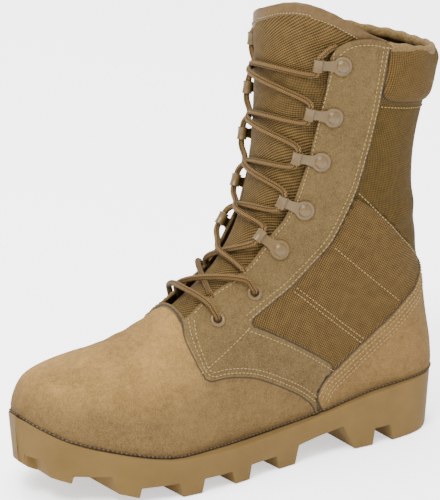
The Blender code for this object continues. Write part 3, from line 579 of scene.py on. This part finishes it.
def collar_roll():
    a0, a1 = 1.62, TURN - 1.5
    around = np.linspace(a0, a1, ROLL_STEPS)
    signed = np.where(around > math.pi, around - TURN, around)
    n = last_row(signed)
    p, q = surface(n, signed), normals(n, signed)
    gathers = wave(p, 6.5, 31) * 0.6 + 0.3 * np.sin(np.arange(ROLL_STEPS) * 0.17 + 2.5 * wave(p, 15, 33))
    ends = np.clip(np.minimum(np.arange(ROLL_STEPS), ROLL_STEPS - 1 - np.arange(ROLL_STEPS)) / 12, 0.05, 1)
    points, sides = [], 18
    for i in range(ROLL_STEPS):
        for k in range(sides):
            w = TURN * k / sides
            bulge = 1 + 0.16 * gathers[i] * (math.sin(w) > -0.2)
            out, up = 2.9 * math.cos(w) * bulge * ends[i], 3.6 * math.sin(w) * bulge * ends[i]
            points.append(p[i] + q[i] * (out - 1.3) + np.array([0, 0, 1.0]) * (up - 1.2 + 0.6 * gathers[i]))
    faces = ring_faces(0, ROLL_STEPS, sides)
    faces += [tuple(reversed(range(sides))), tuple((ROLL_STEPS - 1) * sides + k for k in range(sides))]
    return outward(make_mesh("collar_roll", points, faces, [ROLL]))


ROLL = plain("gathered_nylon", (0.060, 0.037, 0.0125, 1), (0.125, 0.079, 0.028, 1), 0.85, 700.0, 0.5)
roll = collar_roll()
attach(roll, "root")

# %% Build the skin as a thick shell with its masks
count = angle.shape[1]
bridge_cols = range(HALF, HALF + 2 * BRIDGE)
faces, used = [], above > -1.6
for j in range(len(number) - 1):
    for k in range(count):
        if k in bridge_cols and j >= TOE_ROWS:
            continue
        a, b = j * count + k, j * count + (k + 1) % count
        if used[[a, b, a + count, b + count]].any():
            faces.append((a, a + count, b + count, b))
skin = make_mesh("upper_skin", lifted, faces, [UPPER_MAT, LINING])
for panel in ("vamp", "counter", "cuff", "low_nylon"):
    attribute(skin, panel, depth[panel])
attribute(skin, "suede", np.maximum.reduce([depth["facing"], depth["counter"], depth["vamp"]]))
edge = np.where(np.abs(depth["facing"]) < np.abs(depth["counter"]), depth["facing"], depth["counter"])
edge = np.where(np.abs(depth["cuff"]) < np.abs(edge), depth["cuff"], edge)
attribute(skin, "edge", edge)
attribute(skin, "foot", np.exp(-np.clip(above, 0, None) / 3.0))
girth = distance_along(base, 1)
uv = np.stack([np.where(depth["low_nylon"] > 0, side_view[:, 0], girth.ravel()), side_view[:, 1]], 1)
set_uv(skin.data, uv)
bm = bmesh.new()
bm.from_mesh(skin.data)
bmesh.ops.delete(bm, geom=[v for v in bm.verts if not v.link_faces], context="VERTS")
bmesh.ops.remove_doubles(bm, verts=bm.verts, dist=1e-5)
bmesh.ops.recalc_face_normals(bm, faces=bm.faces)
bm.to_mesh(skin.data)
bm.free()
test = max(skin.data.polygons, key=lambda p: p.center.x)
if test.normal.x < 0:
    skin.data.flip_normals()
wall = skin.modifiers.new("wall", "SOLIDIFY")
wall.thickness, wall.offset, wall.material_offset, wall.material_offset_rim = WALL * MM, -1.0, 1, 0
mesh = bake(skin)
mesh.shade_smooth()
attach(skin, "root")
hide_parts("upper", "facing_outer", "facing_inner", "counter", "cuff")
tree = tree_of(mesh)
print("upper skin faces", len(mesh.polygons))
cell_area = np.linalg.norm(np.cross(np.gradient(base, axis=0), np.gradient(base, axis=1)), axis=-1).ravel()
for panel in ("facing", "counter", "cuff", "vamp"):
    area_mm2 = cell_area[(depth[panel] > 0) & used].sum()
    print(f"{panel}: flat area on both sides together {area_mm2 / 100:.0f} cm2")

# %% [markdown]
# ## The tongue
# A padded woven sheet under the facings, with a leather binding round its rim.

# %% Tongue sheet
TONGUE_RIM = np.array([
    (-110, 270), (-98, 276), (-86, 284), (-74, 292.5), (-64, 299), (-54, 303.5), (-44, 306.4), (-34, 307.4),
    (-22, 306.2), (-10, 303), (2, 299), (14, 294.5), (28, 289), (45, 284.5), (90, 280),
])
T_COLS, T_ROWS = 90, 190


def tongue_offset(share, number):
    """How far the tongue lies outside the skin: puffed forward between the facings."""
    puff = np.clip(1 - np.abs(share) ** 3, 0, 1) * np.clip((number - 17) / 4, 0, 1)
    far_edge = 2.6 * np.clip(-share * 1.6, 0, 1) * np.clip((number - 17) / 4, 0, 1)
    return -WALL - 1.1 + 0.8 * puff - far_edge - 1.2 * np.clip((17 - number) / 4, 0, 1)


share = np.linspace(1, -1, T_COLS + 1)


def tongue_angle(n, s):
    return s * (np.where(s >= 0, throat(n) + 0.22 + 0.5 * step(n - 22.5, 3), throat(n, 1) + 0.30))


last = np.full(T_COLS + 1, 26.0)
for _ in range(40):
    a = tongue_angle(last, share)
    goal = np.interp(-np.degrees(a), TONGUE_RIM[:, 0], TONGUE_RIM[:, 1])
    last = np.clip(last + (goal - surface(last, a)[..., 2]) / 24, 22, 26.95)
t = np.linspace(0, 1, T_ROWS + 1)[:, None]
tn = 8.8 + (last[None] - 8.8) * t
ts = np.repeat(share[None], T_ROWS + 1, 0)
ta = tongue_angle(tn, ts)
tbase = surface(tn, ta)
tnormal = normals(tn, ta)
run = distance_along(tbase)
to_rim = run[-1][None] - run
tlift = tongue_offset(ts, tn) + 0.35 * wave(tbase.reshape(-1, 3), 15, 21).reshape(tn.shape)
tlift += 0.8 * step(8.0 - to_rim, 1.2) * (to_rim < 12) + 0.9 * bell(to_rim, 14, 9)
tlift -= 0.5 * bell(to_rim, 8.6, 0.9)
tpoints = tbase + tnormal * tlift[..., None]
across = T_COLS + 1
corners = [j * across + k for j in range(T_ROWS) for k in range(T_COLS)]
tfaces = [(a, a + across, a + across + 1, a + 1) for a in corners]
TONGUE_MAT = cloth("tongue_nylon", (0.0220, 0.0123, 0.0031, 1), (0.1066, 0.0643, 0.0191, 1), 0.42, 0.0, 1.0)
tongue = make_mesh("tongue_cloth", tpoints.reshape(-1, 3), tfaces, [TONGUE_MAT, BINDING])
tgirth = distance_along(tbase, 1)
set_uv(tongue.data, np.stack([tgirth.ravel(), run.ravel()], 1))
rim_of = to_rim.ravel()
for poly in tongue.data.polygons:
    if rim_of[list(poly.vertices)].mean() < 8.2:
        poly.material_index = 1
if sum(math.copysign(1, p.normal.x) for p in tongue.data.polygons) > 0:
    tongue.data.flip_normals()
tongue = solid(tongue, 2.6)
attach(tongue, "root")
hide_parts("tongue")
tongue_tree = tree_of(tongue.data)
print("tongue faces", len(tongue.data.polygons))
print(f"tongue flat size {tgirth[:, -1].max():.0f} x {run.max():.0f} mm")

# %% [markdown]
# ## The sole
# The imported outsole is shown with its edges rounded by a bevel. The insole board shows only inside.

# %% Sole and insole
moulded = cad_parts["outsole"]
bm = bmesh.new()
bm.from_mesh(moulded.data)
bmesh.ops.remove_doubles(bm, verts=bm.verts, dist=1e-6)
bmesh.ops.dissolve_limit(bm, angle_limit=math.radians(0.6), verts=bm.verts, edges=bm.edges)
joined = bpy.data.meshes.new("joined_sole")
bm.to_mesh(joined)
bm.free()
sole = in_scene("rubber_sole", joined)
bevel = sole.modifiers.new("edges", "BEVEL")
bevel.width, bevel.segments, bevel.limit_method, bevel.angle_limit = 0.9 * MM, 3, "ANGLE", math.radians(28)
bevel.use_clamp_overlap = False
rounded_mesh = bake(sole)
rounded_mesh.materials.clear()
rounded_mesh.materials.append(RUBBER)
rounded_mesh.shade_smooth()
rounded_mesh.set_sharp_from_angle(angle=math.radians(24))
print("rounded sole faces", len(rounded_mesh.polygons))
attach(sole, "root")
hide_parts("outsole")
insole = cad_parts["insole"]
insole.data.materials.clear()
insole.data.materials.append(LINING)
print("sole dressed")

# %% [markdown]
# ## Thread, welt and lace
# A Geometry Nodes tree lays a row of stitches along any path. Tubes along paths make welt and lace.

# %% Paths on the skin
def on_skin(s, z, side, lift_mm=0.0):
    """The place on the skin that shows at a station and height from the outer (-1) or inner (1) side."""
    origin = Vector(((HALF_LENGTH - s) * MM, side * 0.2, z * MM))
    hit, normal, _, _ = tree.ray_cast(origin, Vector((0, -side, 0)), 0.25)
    return None if hit is None else hit + normal * lift_mm * MM


def side_path(points, side, lift_mm=0.25, spacing=1.5):
    """Points on the skin along a side-view line, in evenly spaced steps."""
    p = np.array(points, float)
    for _ in range(2):
        cut = np.stack([0.75 * p[:-1] + 0.25 * p[1:], 0.25 * p[:-1] + 0.75 * p[1:]], 1).reshape(-1, 2)
        p = np.concatenate([p[:1], cut, p[-1:]])
    d = distance_along(p)
    at = np.arange(0, d[-1], spacing)
    s, z = np.interp(at, d, p[:, 0]), np.interp(at, d, p[:, 1])
    return [q for q in (on_skin(a, b, side, lift_mm) for a, b in zip(s, z)) if q is not None]


def shifted(points, amount):
    """A side-view line moved sideways by an amount, to its left."""
    p = np.array(points, float)
    d = np.gradient(p, axis=0)
    n = np.stack([-d[:, 1], d[:, 0]], 1) / np.linalg.norm(d, axis=1, keepdims=True)
    return p + n * amount


# %% The stitch tree
def stitch_tree():
    tree = bpy.data.node_groups.new("stitch_row", "GeometryNodeTree")
    face = tree.interface
    face.new_socket("Geometry", in_out="INPUT", socket_type="NodeSocketGeometry")
    for label, value in (("Spacing", 2.9 * MM), ("Length", 1.05 * MM), ("Thickness", THREAD * MM)):
        face.new_socket(label, in_out="INPUT", socket_type="NodeSocketFloat").default_value = value
    face.new_socket("Thread", in_out="INPUT", socket_type="NodeSocketMaterial")
    face.new_socket("Geometry", in_out="OUTPUT", socket_type="NodeSocketGeometry")
    gi, go = tree.nodes.new("NodeGroupInput"), tree.nodes.new("NodeGroupOutput")
    curve = node(tree, "GeometryNodeMeshToCurve", {0: gi.outputs[0]})
    even = node(tree, "GeometryNodeResampleCurve", {"Curve": curve.outputs[0],
                                                       "Length": gi.outputs["Spacing"]}, mode="LENGTH")
    ball = node(tree, "GeometryNodeMeshUVSphere", {"Segments": 8, "Rings": 6, "Radius": 1.0})
    size = node(tree, "ShaderNodeCombineXYZ", {0: gi.outputs["Thickness"], 1: gi.outputs["Thickness"],
                                               2: gi.outputs["Length"]})
    tangent = node(tree, "GeometryNodeInputTangent")
    turn = node(tree, "FunctionNodeAlignEulerToVector", {"Vector": tangent.outputs[0]}, axis="Z")
    put = node(tree, "GeometryNodeInstanceOnPoints", {"Points": even.outputs[0], "Instance": ball.outputs[0],
                                                      "Rotation": turn.outputs[0], "Scale": size.outputs[0]})
    real = node(tree, "GeometryNodeRealizeInstances", {0: put.outputs[0]})
    smooth_node = node(tree, "GeometryNodeSetShadeSmooth", {0: real.outputs[0]})
    mat = node(tree, "GeometryNodeSetMaterial", {"Geometry": smooth_node.outputs[0],
                                                 "Material": gi.outputs["Thread"]})
    tree.links.new(mat.outputs[0], go.inputs[0])
    return tree


STITCHES = stitch_tree()


def stitch(name, paths, thread=None, **sizes):
    """One object with a row of stitches along each path of points (in metres)."""
    points, edges = [], []
    for path in paths:
        if len(path) > 2:
            edges += [(len(points) + i, len(points) + i + 1) for i in range(len(path) - 1)]
            points += list(path)
    mesh = bpy.data.meshes.new(name)
    mesh.from_pydata([tuple(p) for p in points], edges, [])
    obj = in_scene(name, mesh)
    rows = obj.modifiers.new("rows", "NODES")
    rows.node_group = STITCHES
    for item in STITCHES.interface.items_tree:
        if item.in_out == "INPUT" and item.name in sizes:
            rows[item.identifier] = sizes[item.name]
        if item.in_out == "INPUT" and item.name == "Thread":
            rows[item.identifier] = thread or THREAD_MAT
    obj.update_tag()
    bpy.context.view_layer.update()
    bake(obj)
    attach(obj, "root")
    return obj


# %% Stitch lines of the panels
EYE_BACK = [(60.5, 274), (63.6, 256), (66.5, 239), (69, 227), (72, 214), (76.7, 196.6), (81, 180.5),
            (90, 161), (98, 145), (111, 132.7), (126.5, 120), (141.5, 112), (159, 102)]
QUARTER_LOW = [(197.6, 107), (201, 98), (200.5, 86), (196.5, 72), (181, 73), (160.5, 69),
               (140, 58.5), (123, 48.5), (112, 39)]
QUARTER_TOP = [(161, 100), (146, 92.5), (130, 84), (111, 71.5), (95, 60)]
COUNTER_TOP = [(4, 118), (17, 117), (21, 111), (28, 104), (41, 97), (55, 86), (73, 74),
               (93, 60), (103.5, 53), (109, 43.6)]
SEAM = [(161, 99), (172, 92), (186, 84), (200, 77)]
CUFF_SEAM = [(3, 222.5), (31, 229), (65, 236.5)]
STRAP_TOP = [(79, 177.5), (60, 158.5), (40, 138.5), (20, 119)]
STRAP_LOW = [(94.5, 142), (70, 120), (44, 97.5)]
LOW_LINE = [(123, 117.6), (97, 95), (73, 75)]
EYE_TOP = [(60.5, 274), (67, 275.8), (74, 278.1), (83, 278.8), (90, 277.9), (95, 275.2),
           (98.3, 271), (100.2, 265)]
LINES = [(EYE_TOP, 0), (EYE_BACK, 2.0), (EYE_BACK, 5.2), (QUARTER_LOW, -1.8), (COUNTER_TOP, -1.8),
         (QUARTER_LOW, -4.6), (COUNTER_TOP, -4.6), (COUNTER_TOP, -8.0), (COUNTER_TOP, -10.6),
         (QUARTER_TOP, 2.0), (SEAM, 0), (CUFF_SEAM, -1.5), (STRAP_TOP, 0), (STRAP_LOW, 0),
         (LOW_LINE, 1.5), (LOW_LINE, -1.5)]
rows = [side_path(shifted(line, amount), side) for side in (-1, 1) for line, amount in LINES]
panel_stitches = stitch("panel_stitches", rows)
print("panel stitches", len(panel_stitches.data.polygons))


# %% Stitches along the throat edge and the tongue's binding
def edge_path(side, inset):
    """Points just inside the throat edge of a facing, from the vamp to the collar."""
    n = np.linspace(9.5, 25.6, 300)
    arc = np.abs(surface(n, throat(n, side) * -side + 0.02) - surface(n, throat(n, side) * -side))
    per = np.linalg.norm(arc, axis=-1) / 0.02
    a = (throat(n, side) + inset / np.maximum(per, 1)) * -side
    p, q = surface(n, a), normals(n, a)
    points = []
    for i in range(len(n)):
        start_at = Vector(p[i] + q[i] * 9) * MM
        hit = tree.ray_cast(start_at, -Vector(q[i]), 0.02)
        if hit[0] is not None:
            points.append(hit[0] + hit[1] * 0.25 * MM)
    return points


stitch("facing_edge_stitches", [edge_path(-1, 2.2), edge_path(1, 2.2)])
rim_row = []
for k in range(4, T_COLS - 3):
    j = int(np.argmin(np.abs(to_rim[:, k] - 7.2)))
    rim_row.append(Vector(tpoints[j, k] + tnormal[j, k] * 0.2) * MM)
stitch("binding_stitches", [rim_row], Spacing=2.2 * MM, Length=0.8 * MM)
print("edge stitches done")


# %% Tubes along paths
def tube(name, paths, radius, mat, sides=14, flatten=1.0):
    """Round tubes along smooth paths of points in mm, with a UV map along and round them."""
    points, faces, uvs = [], [], []
    for path in paths:
        p = np.array(path, float)
        d = distance_along(p)
        tangent = np.gradient(p, axis=0)
        tangent /= np.maximum(np.linalg.norm(tangent, axis=1, keepdims=True), 1e-9)
        side = np.cross(tangent[0], (0.3, 0.2, 1.0))
        base_index = len(points)
        for i in range(len(p)):
            side = side - tangent[i] * (side @ tangent[i])
            side /= np.linalg.norm(side)
            up = np.cross(tangent[i], side)
            for k in range(sides):
                w = TURN * k / sides
                points.append(p[i] + radius * (math.cos(w) * side + flatten * math.sin(w) * up))
                uvs.append((d[i], k / sides))
        faces += ring_faces(base_index, len(p), sides)
        faces.append(tuple(base_index + k for k in reversed(range(sides))))
        faces.append(tuple(base_index + (len(p) - 1) * sides + k for k in range(sides)))
    obj = make_mesh(name, points, faces, [mat])
    set_uv(obj.data, np.array(uvs))
    outward(obj)
    return obj


def spline(points, steps=14):
    """A smooth path through points in mm."""
    p = np.array(points, float)
    rows_at = np.linspace(0, len(p) - 1, (len(p) - 1) * steps + 1)
    return smooth(p, rows_at)


def lace_material():
    mat, tree, shader = material("braided_lace")
    uv = node(tree, "ShaderNodeUVMap", uv_map="UVMap").outputs[0]
    xyz = node(tree, "ShaderNodeSeparateXYZ", {0: uv})
    along_it = times(tree, xyz.outputs[0], 4.6)
    round_it = times(tree, xyz.outputs[1], 37.7)
    one = math_node(tree, "SINE", math_node(tree, "ADD", along_it, round_it))
    two = math_node(tree, "SINE", math_node(tree, "SUBTRACT", along_it, round_it))
    braid = math_node(tree, "MAXIMUM", one, two)
    shade = contrast(tree, braid, -0.6, 0.9)
    colour = mix(tree, shade, (0.024, 0.0128, 0.0038, 1), (0.120, 0.068, 0.021, 1))
    # Painted shade: dark lines along the lace in the grooves between its strands.
    line = math_node(tree, "SINE", times(tree, xyz.outputs[1], 25.13))
    painted_groove_shade = times(tree, contrast(tree, line, 0.45, 0.9), 0.8)
    colour = mix(tree, painted_groove_shade, colour, (0.012, 0.007, 0.003, 1))
    set_shader(tree, shader, colour, bump(tree, braid, 0.8, 0.0004), 0.75, 0.12)
    return mat


LACE_MAT = lace_material()

# %% [markdown]
# ## Hooks and eyelets
# Each is turned once and set in a frame on the skin: X along the throat edge, Y towards the throat, Z out.

# %% Frames on the skin
HOOKS = [(95.0, 266.0), (100.0, 232.7), (107.0, 203.0), (116.0, 171.0), (132.0, 145.0)]
EYELETS = [(152.0, 119.5), (179.5, 105.5)]
REACH = 16.4


def find(station, height):
    n, a = np.meshgrid(np.linspace(9, 26.5, 400), np.linspace(0.3, 2.4, 400))
    p = surface(n, a)
    i = np.argmin((HALF_LENGTH - p[..., 0] - station) ** 2 + (p[..., 2] - height) ** 2)
    return n.ravel()[i], a.ravel()[i]


def skin_frame(station, height, side):
    n, a = find(station, height)
    share_of = (a - throat(n)) / (math.pi - throat(n))
    a = a if side < 0 else -(throat(n, 1) + share_of * (math.pi - throat(n, 1)))
    p, q = surface(n, a), normals(n, a)
    hit = tree.ray_cast(Vector(p + q * 12) * MM, -Vector(q), 0.03)[0]
    ends = [surface(m, throat(m, side) * -side) for m in (n - 0.7, n + 0.7)]
    z = Vector(q).normalized()
    x = Vector(ends[1] - ends[0]).normalized()
    x = (x - z * x.dot(z)).normalized()
    y = z.cross(x)
    if (Vector(ends[0] + ends[1]) / 2 - Vector(p)).dot(y) < 0:
        y = -y
    matrix = Matrix((x, y, z)).transposed().to_4x4()
    matrix.translation = hit / MM
    return matrix


hook_frames = {side: [skin_frame(s, z, side) for s, z in HOOKS] for side in (-1, 1)}
eye_frames = {side: [skin_frame(s, z, side) for s, z in EYELETS] for side in (-1, 1)}


# %% Turned shapes
def turned(profile, sides, centre=(0, 0, 0), axis="Z"):
    """Points and faces of a profile of (radius, height) turned about an axis; a zero radius closes it."""
    points = []
    for r, h in profile:
        for k in range(sides):
            w = TURN * k / sides
            p = (r * math.cos(w), r * math.sin(w), h)
            p = p if axis == "Z" else (p[2], p[0], p[1])
            points.append(tuple(c + v for c, v in zip(centre, p)))
    return points, ring_faces(0, len(profile), sides)


def hook_parts():
    disc = turned([(0.01, 0), (6.3, 0), (6.6, 0.3), (6.6, 1.0), (6.1, 1.5), (4.6, 1.35), (4.2, 1.5),
                   (4.0, 2.0), (3.4, 2.7), (2.2, 3.2), (1.0, 3.4), (0.01, 3.45)], 36)
    shell = turned([(2.35, -3.8), (2.8, -4.1), (3.25, -4.0), (3.35, -3.6), (3.05, -3.0), (2.95, 0),
                    (3.05, 3.0), (3.35, 3.6), (3.25, 4.0), (2.8, 4.1), (2.35, 3.8), (2.25, 0), (2.35, -3.8)],
                   28, (0, REACH, 1.0), "X")
    points, faces = list(disc[0]), list(disc[1])
    faces += [tuple(i + len(points) for i in f) for f in shell[1]]
    points += shell[0]
    start = len(points)
    profile = [(-4.2, 4.0), (-3.2, 8.5), (-3.0, 11.0), (-3.5, 15.2)]
    for half, y in profile:
        points += [(half, y, 0.2), (-half, y, 0.2), (-half, y, 1.45), (half, y, 1.45)]
    faces += ring_faces(start, len(profile), 4)
    faces += [(start, start + 1, start + 2, start + 3), tuple(start + 12 + k for k in (3, 2, 1, 0))]
    return points, faces


SIDES = ((-1, "outer"), (1, "inner"))


def copies(shape, frames):
    """A shape set in every frame, as one list of points and one of faces."""
    points, faces = [], []
    for matrix in frames:
        faces += [tuple(i + len(points) for i in f) for f in shape[1]]
        points += [tuple(matrix @ Vector(p)) for p in shape[0]]
    return points, faces


def set_all(name, shape, frames, words, mat):
    """One object per side holding a shape in every frame."""
    made = []
    for side, word in SIDES:
        obj = make_mesh(f"{name}_{word}", *copies(shape, frames[side]), [mat])
        outward(obj)
        obj.data.set_sharp_from_angle(angle=math.radians(50))
        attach(obj, "root")
        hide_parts(*[f"{words}_{word}_{i + 1}" for i in range(len(frames[side]))])
        made.append(obj)
    return made


hooks = set_all("hooks", hook_parts(), hook_frames, "hook", METAL)
ring = turned([(2.5, -0.6), (2.6, 0.7), (3.1, 1.3), (3.8, 1.45), (4.6, 1.1), (5.1, 0.3), (5.1, -0.2),
               (2.5, -0.6)], 32)
set_all("eyelets", ring, eye_frames, "eyelet", METAL)
dark = turned([(0.01, 0.12), (2.7, 0.12)], 24)
HOLE_MAT = plain("hole_shadow", (0.02, 0.013, 0.007, 1), (0.03, 0.02, 0.01, 1), 0.9)
for side, word in SIDES:
    hole = make_mesh(f"eyelet_holes_{word}", *copies(dark, eye_frames[side]), [HOLE_MAT])
    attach(hole, "root")
print("hooks and eyelets", len(hooks[0].data.polygons))

# %% [markdown]
# ## The lace
# Strands cross the tongue from hook to hook and between the eyelets, one over the other.

# %% Lace strands
def in_frame(matrix, x, y, z):
    up = 1 if (matrix.to_3x3() @ Vector((1, 0, 0))).z > 0 else -1
    return np.array((matrix @ Vector((up * x, y, z)))[:])


def over_tongue(point, clear):
    """A point moved forward until it clears the tongue."""
    direction = Vector((-0.94, 0, 0.34)).normalized()
    start_at = Vector(point) * MM + direction * 0.06
    hit = tongue_tree.ray_cast(start_at, -direction, 0.12)
    if hit[0] is None:
        return np.array(point)
    clear_at = np.array(hit[0][:]) / MM + np.array(direction[:]) * clear
    return clear_at if (clear_at - point) @ np.array(direction[:]) > 0 else np.array(point)


def strand(start, end, over=0.0):
    """A curve that leaves the start and enters the end along their own directions and rests on the tongue."""
    p0, p3 = start[-1], end[0]
    gap = np.linalg.norm(p3 - p0)
    reach = [gap * (0.10 if p[1] < 0 else 0.24) for p in (p0, p3)]
    d0, d3 = start[-1] - start[0], end[0] - end[-1]
    p1, p2 = p0 + d0 / np.linalg.norm(d0) * reach[0], p3 + d3 / np.linalg.norm(d3) * reach[1]
    t = np.linspace(0, 1, 34)[:, None]
    path = (1 - t) ** 3 * p0 + 3 * (1 - t) ** 2 * t * p1 + 3 * (1 - t) * t**2 * p2 + t**3 * p3
    push = np.array([over_tongue(p, LACE + 0.3) - p for p in path])
    kernel = bell(np.arange(-6, 7), 0, 3.0)
    kernel /= kernel.sum()
    fade = np.clip(np.minimum(t, 1 - t) / 0.12, 0, 1)
    soft = np.stack([np.convolve(np.pad(push[:, k], 6, mode="edge"), kernel, mode="valid")
                     for k in range(3)], 1)
    lift_over = over * 1.9 * LACE * bell(t, 0.5, 0.17) * np.array([[-0.9, 0, 0.4]])
    return np.concatenate([start[:-1], path + soft * fade * 1.05 + lift_over, end[1:]])


def hook_lower(matrix):
    return [in_frame(matrix, -0.5, REACH, 1.0), in_frame(matrix, -4.6, REACH, 1.0)]


def hook_upper(matrix):
    return [in_frame(matrix, 4.6, REACH, 1.0), in_frame(matrix, 0.5, REACH, 1.0)]


strands = []
for k in range(4):
    for side, over in ((-1, 0), (1, 1)):
        strands.append(strand(hook_lower(hook_frames[side][k]), hook_upper(hook_frames[-side][k + 1]), over))


def eye_in(matrix):
    """Up out of an eyelet and over the facing's edge."""
    return [in_frame(matrix, 0, -0.2, -1.5), in_frame(matrix, 0.5, 1.2, 2.6), in_frame(matrix, 1.5, 8.0, 4.2)]


def under_edge(matrix, x=0.0):
    """A point just under the facing's edge, where a strand goes in beneath it."""
    return [in_frame(matrix, x, 15.5, -2.6), in_frame(matrix, x - 1, 6.0, -5.4)]


up_o, low_o = eye_frames[-1]
up_i, low_i = eye_frames[1]
strands += [strand(hook_lower(hook_frames[-1][4]), under_edge(up_i, 2.0)),
            strand(hook_lower(hook_frames[1][4]), under_edge(up_o, 5.0), 1),
            strand(eye_in(up_o), under_edge(low_i, 3.0)),
            strand(eye_in(low_o), list(reversed(eye_in(low_i))), 1),
            strand(eye_in(up_i), under_edge(low_o, 9.0))]
for side in (-1, 1):
    top = hook_frames[side][0]
    strands.append(spline([in_frame(top, 0.5, REACH, 1.0), in_frame(top, 4.5, REACH - 0.2, 1.0),
                           in_frame(top, 8.0, REACH - 3.5, 0.5),
                           in_frame(top, 10.5, 9.0, -1.6), in_frame(top, 11.5, 4.5, -3.6)]))
lace = tube("lace", strands, LACE, LACE_MAT, 16)
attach(lace, "root")
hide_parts(*[f"lace_{i + 1}" for i in range(12)])
lengths = [np.linalg.norm(np.diff(s, axis=0), axis=1).sum() for s in strands]
print(f"lace strands {len(strands)}, {sum(lengths):.0f} mm of lace in view")

# %% The dark stitched line round the foot of the upper
def welt_path():
    """Round the boot just above the sole, on both sides of the foot."""
    points = []
    for w in np.linspace(0, TURN, 500):
        best = None
        origin = Vector((math.cos(w) * 0.13, 0, 0))
        out = Vector((math.cos(w) * 0.6, math.sin(w), 0)).normalized()
        far = origin + out * 0.12
        s_here = np.clip(HALF_LENGTH - far.x / MM, 0, 312)
        for _ in range(3):
            z = np.interp(s_here, SEAT[:, 0], SEAT[:, 1]) + 0.9
            hit = tree.ray_cast(Vector((far.x, far.y, z * MM)), -out, 0.2)
            if hit[0] is None:
                break
            s_here = HALF_LENGTH - hit[0].x / MM
            best = hit
        if best is not None:
            points.append(best[0] + best[1] * 0.3 * MM)
    return points


ring_path = welt_path()
welt = tube("welt_line", [[np.array(p[:]) / MM for p in ring_path]], 0.55, DARK_THREAD, 8)
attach(welt, "root")
stitch("welt_stitches", [ring_path], WELT_THREAD, Spacing=3.0 * MM, Length=1.0 * MM, Thickness=0.7 * MM)
print("welt points", len(ring_path))

# %% [markdown]
# ## Stage, light and camera
# A pale floor, a large soft key from the upper left, fill from the right, and the photo's viewpoint.

# %% Stage
bpy.ops.mesh.primitive_plane_add(size=12, location=(0, 0, -0.0002))
floor = bpy.context.object
floor.name = "floor"
floor_mat, _, floor_shader = material("pale_floor")
for socket, value in (("Base Color", (0.93, 0.93, 0.93, 1)), ("Roughness", 0.6),
                      ("Emission Color", (1, 1, 1, 1)), ("Emission Strength", 0.9)):
    floor_shader.inputs[socket].default_value = value
floor.data.materials.append(floor_mat)
world = bpy.data.worlds.new("studio")
world.use_nodes = True
sky = world.node_tree.nodes["Background"].inputs
sky[0].default_value, sky[1].default_value = (1.0, 1.0, 1.0, 1), 2.0
bpy.context.scene.world = world


def area(name, location, target, size, power):
    light = bpy.data.lights.new(name, "AREA")
    light.energy, light.size = power, size
    obj = in_scene(name, light)
    obj.location = location
    obj.rotation_euler = (Vector(target) - Vector(location)).to_track_quat("-Z", "Y").to_euler()
    return obj


area("key", (-1.1, -0.9, 1.9), (0, 0, 0.12), 0.8, 100)
area("fill", (1.3, -1.1, 1.0), (0, 0, 0.15), 0.9, 9)
area("top", (-0.1, 0.1, 2.4), (0, 0, 0), 1.4, 60)
area("rim", (0.3, 1.4, 1.3), (0, 0, 0.15), 1.0, 22)

# %% Camera
camera = in_scene("camera", bpy.data.cameras.new("camera"))
camera.location = (-1.22986, -2.04034, 0.90594)
camera.rotation_euler = (Vector((-0.0039, 0, 0.1417)) - camera.location).to_track_quat("-Z", "Y").to_euler()
camera.data.sensor_width = 36.0
camera.data.lens = 3852 * 36 / 500
scene = bpy.context.scene
scene.camera = camera
scene.render.resolution_x, scene.render.resolution_y = 440, 500
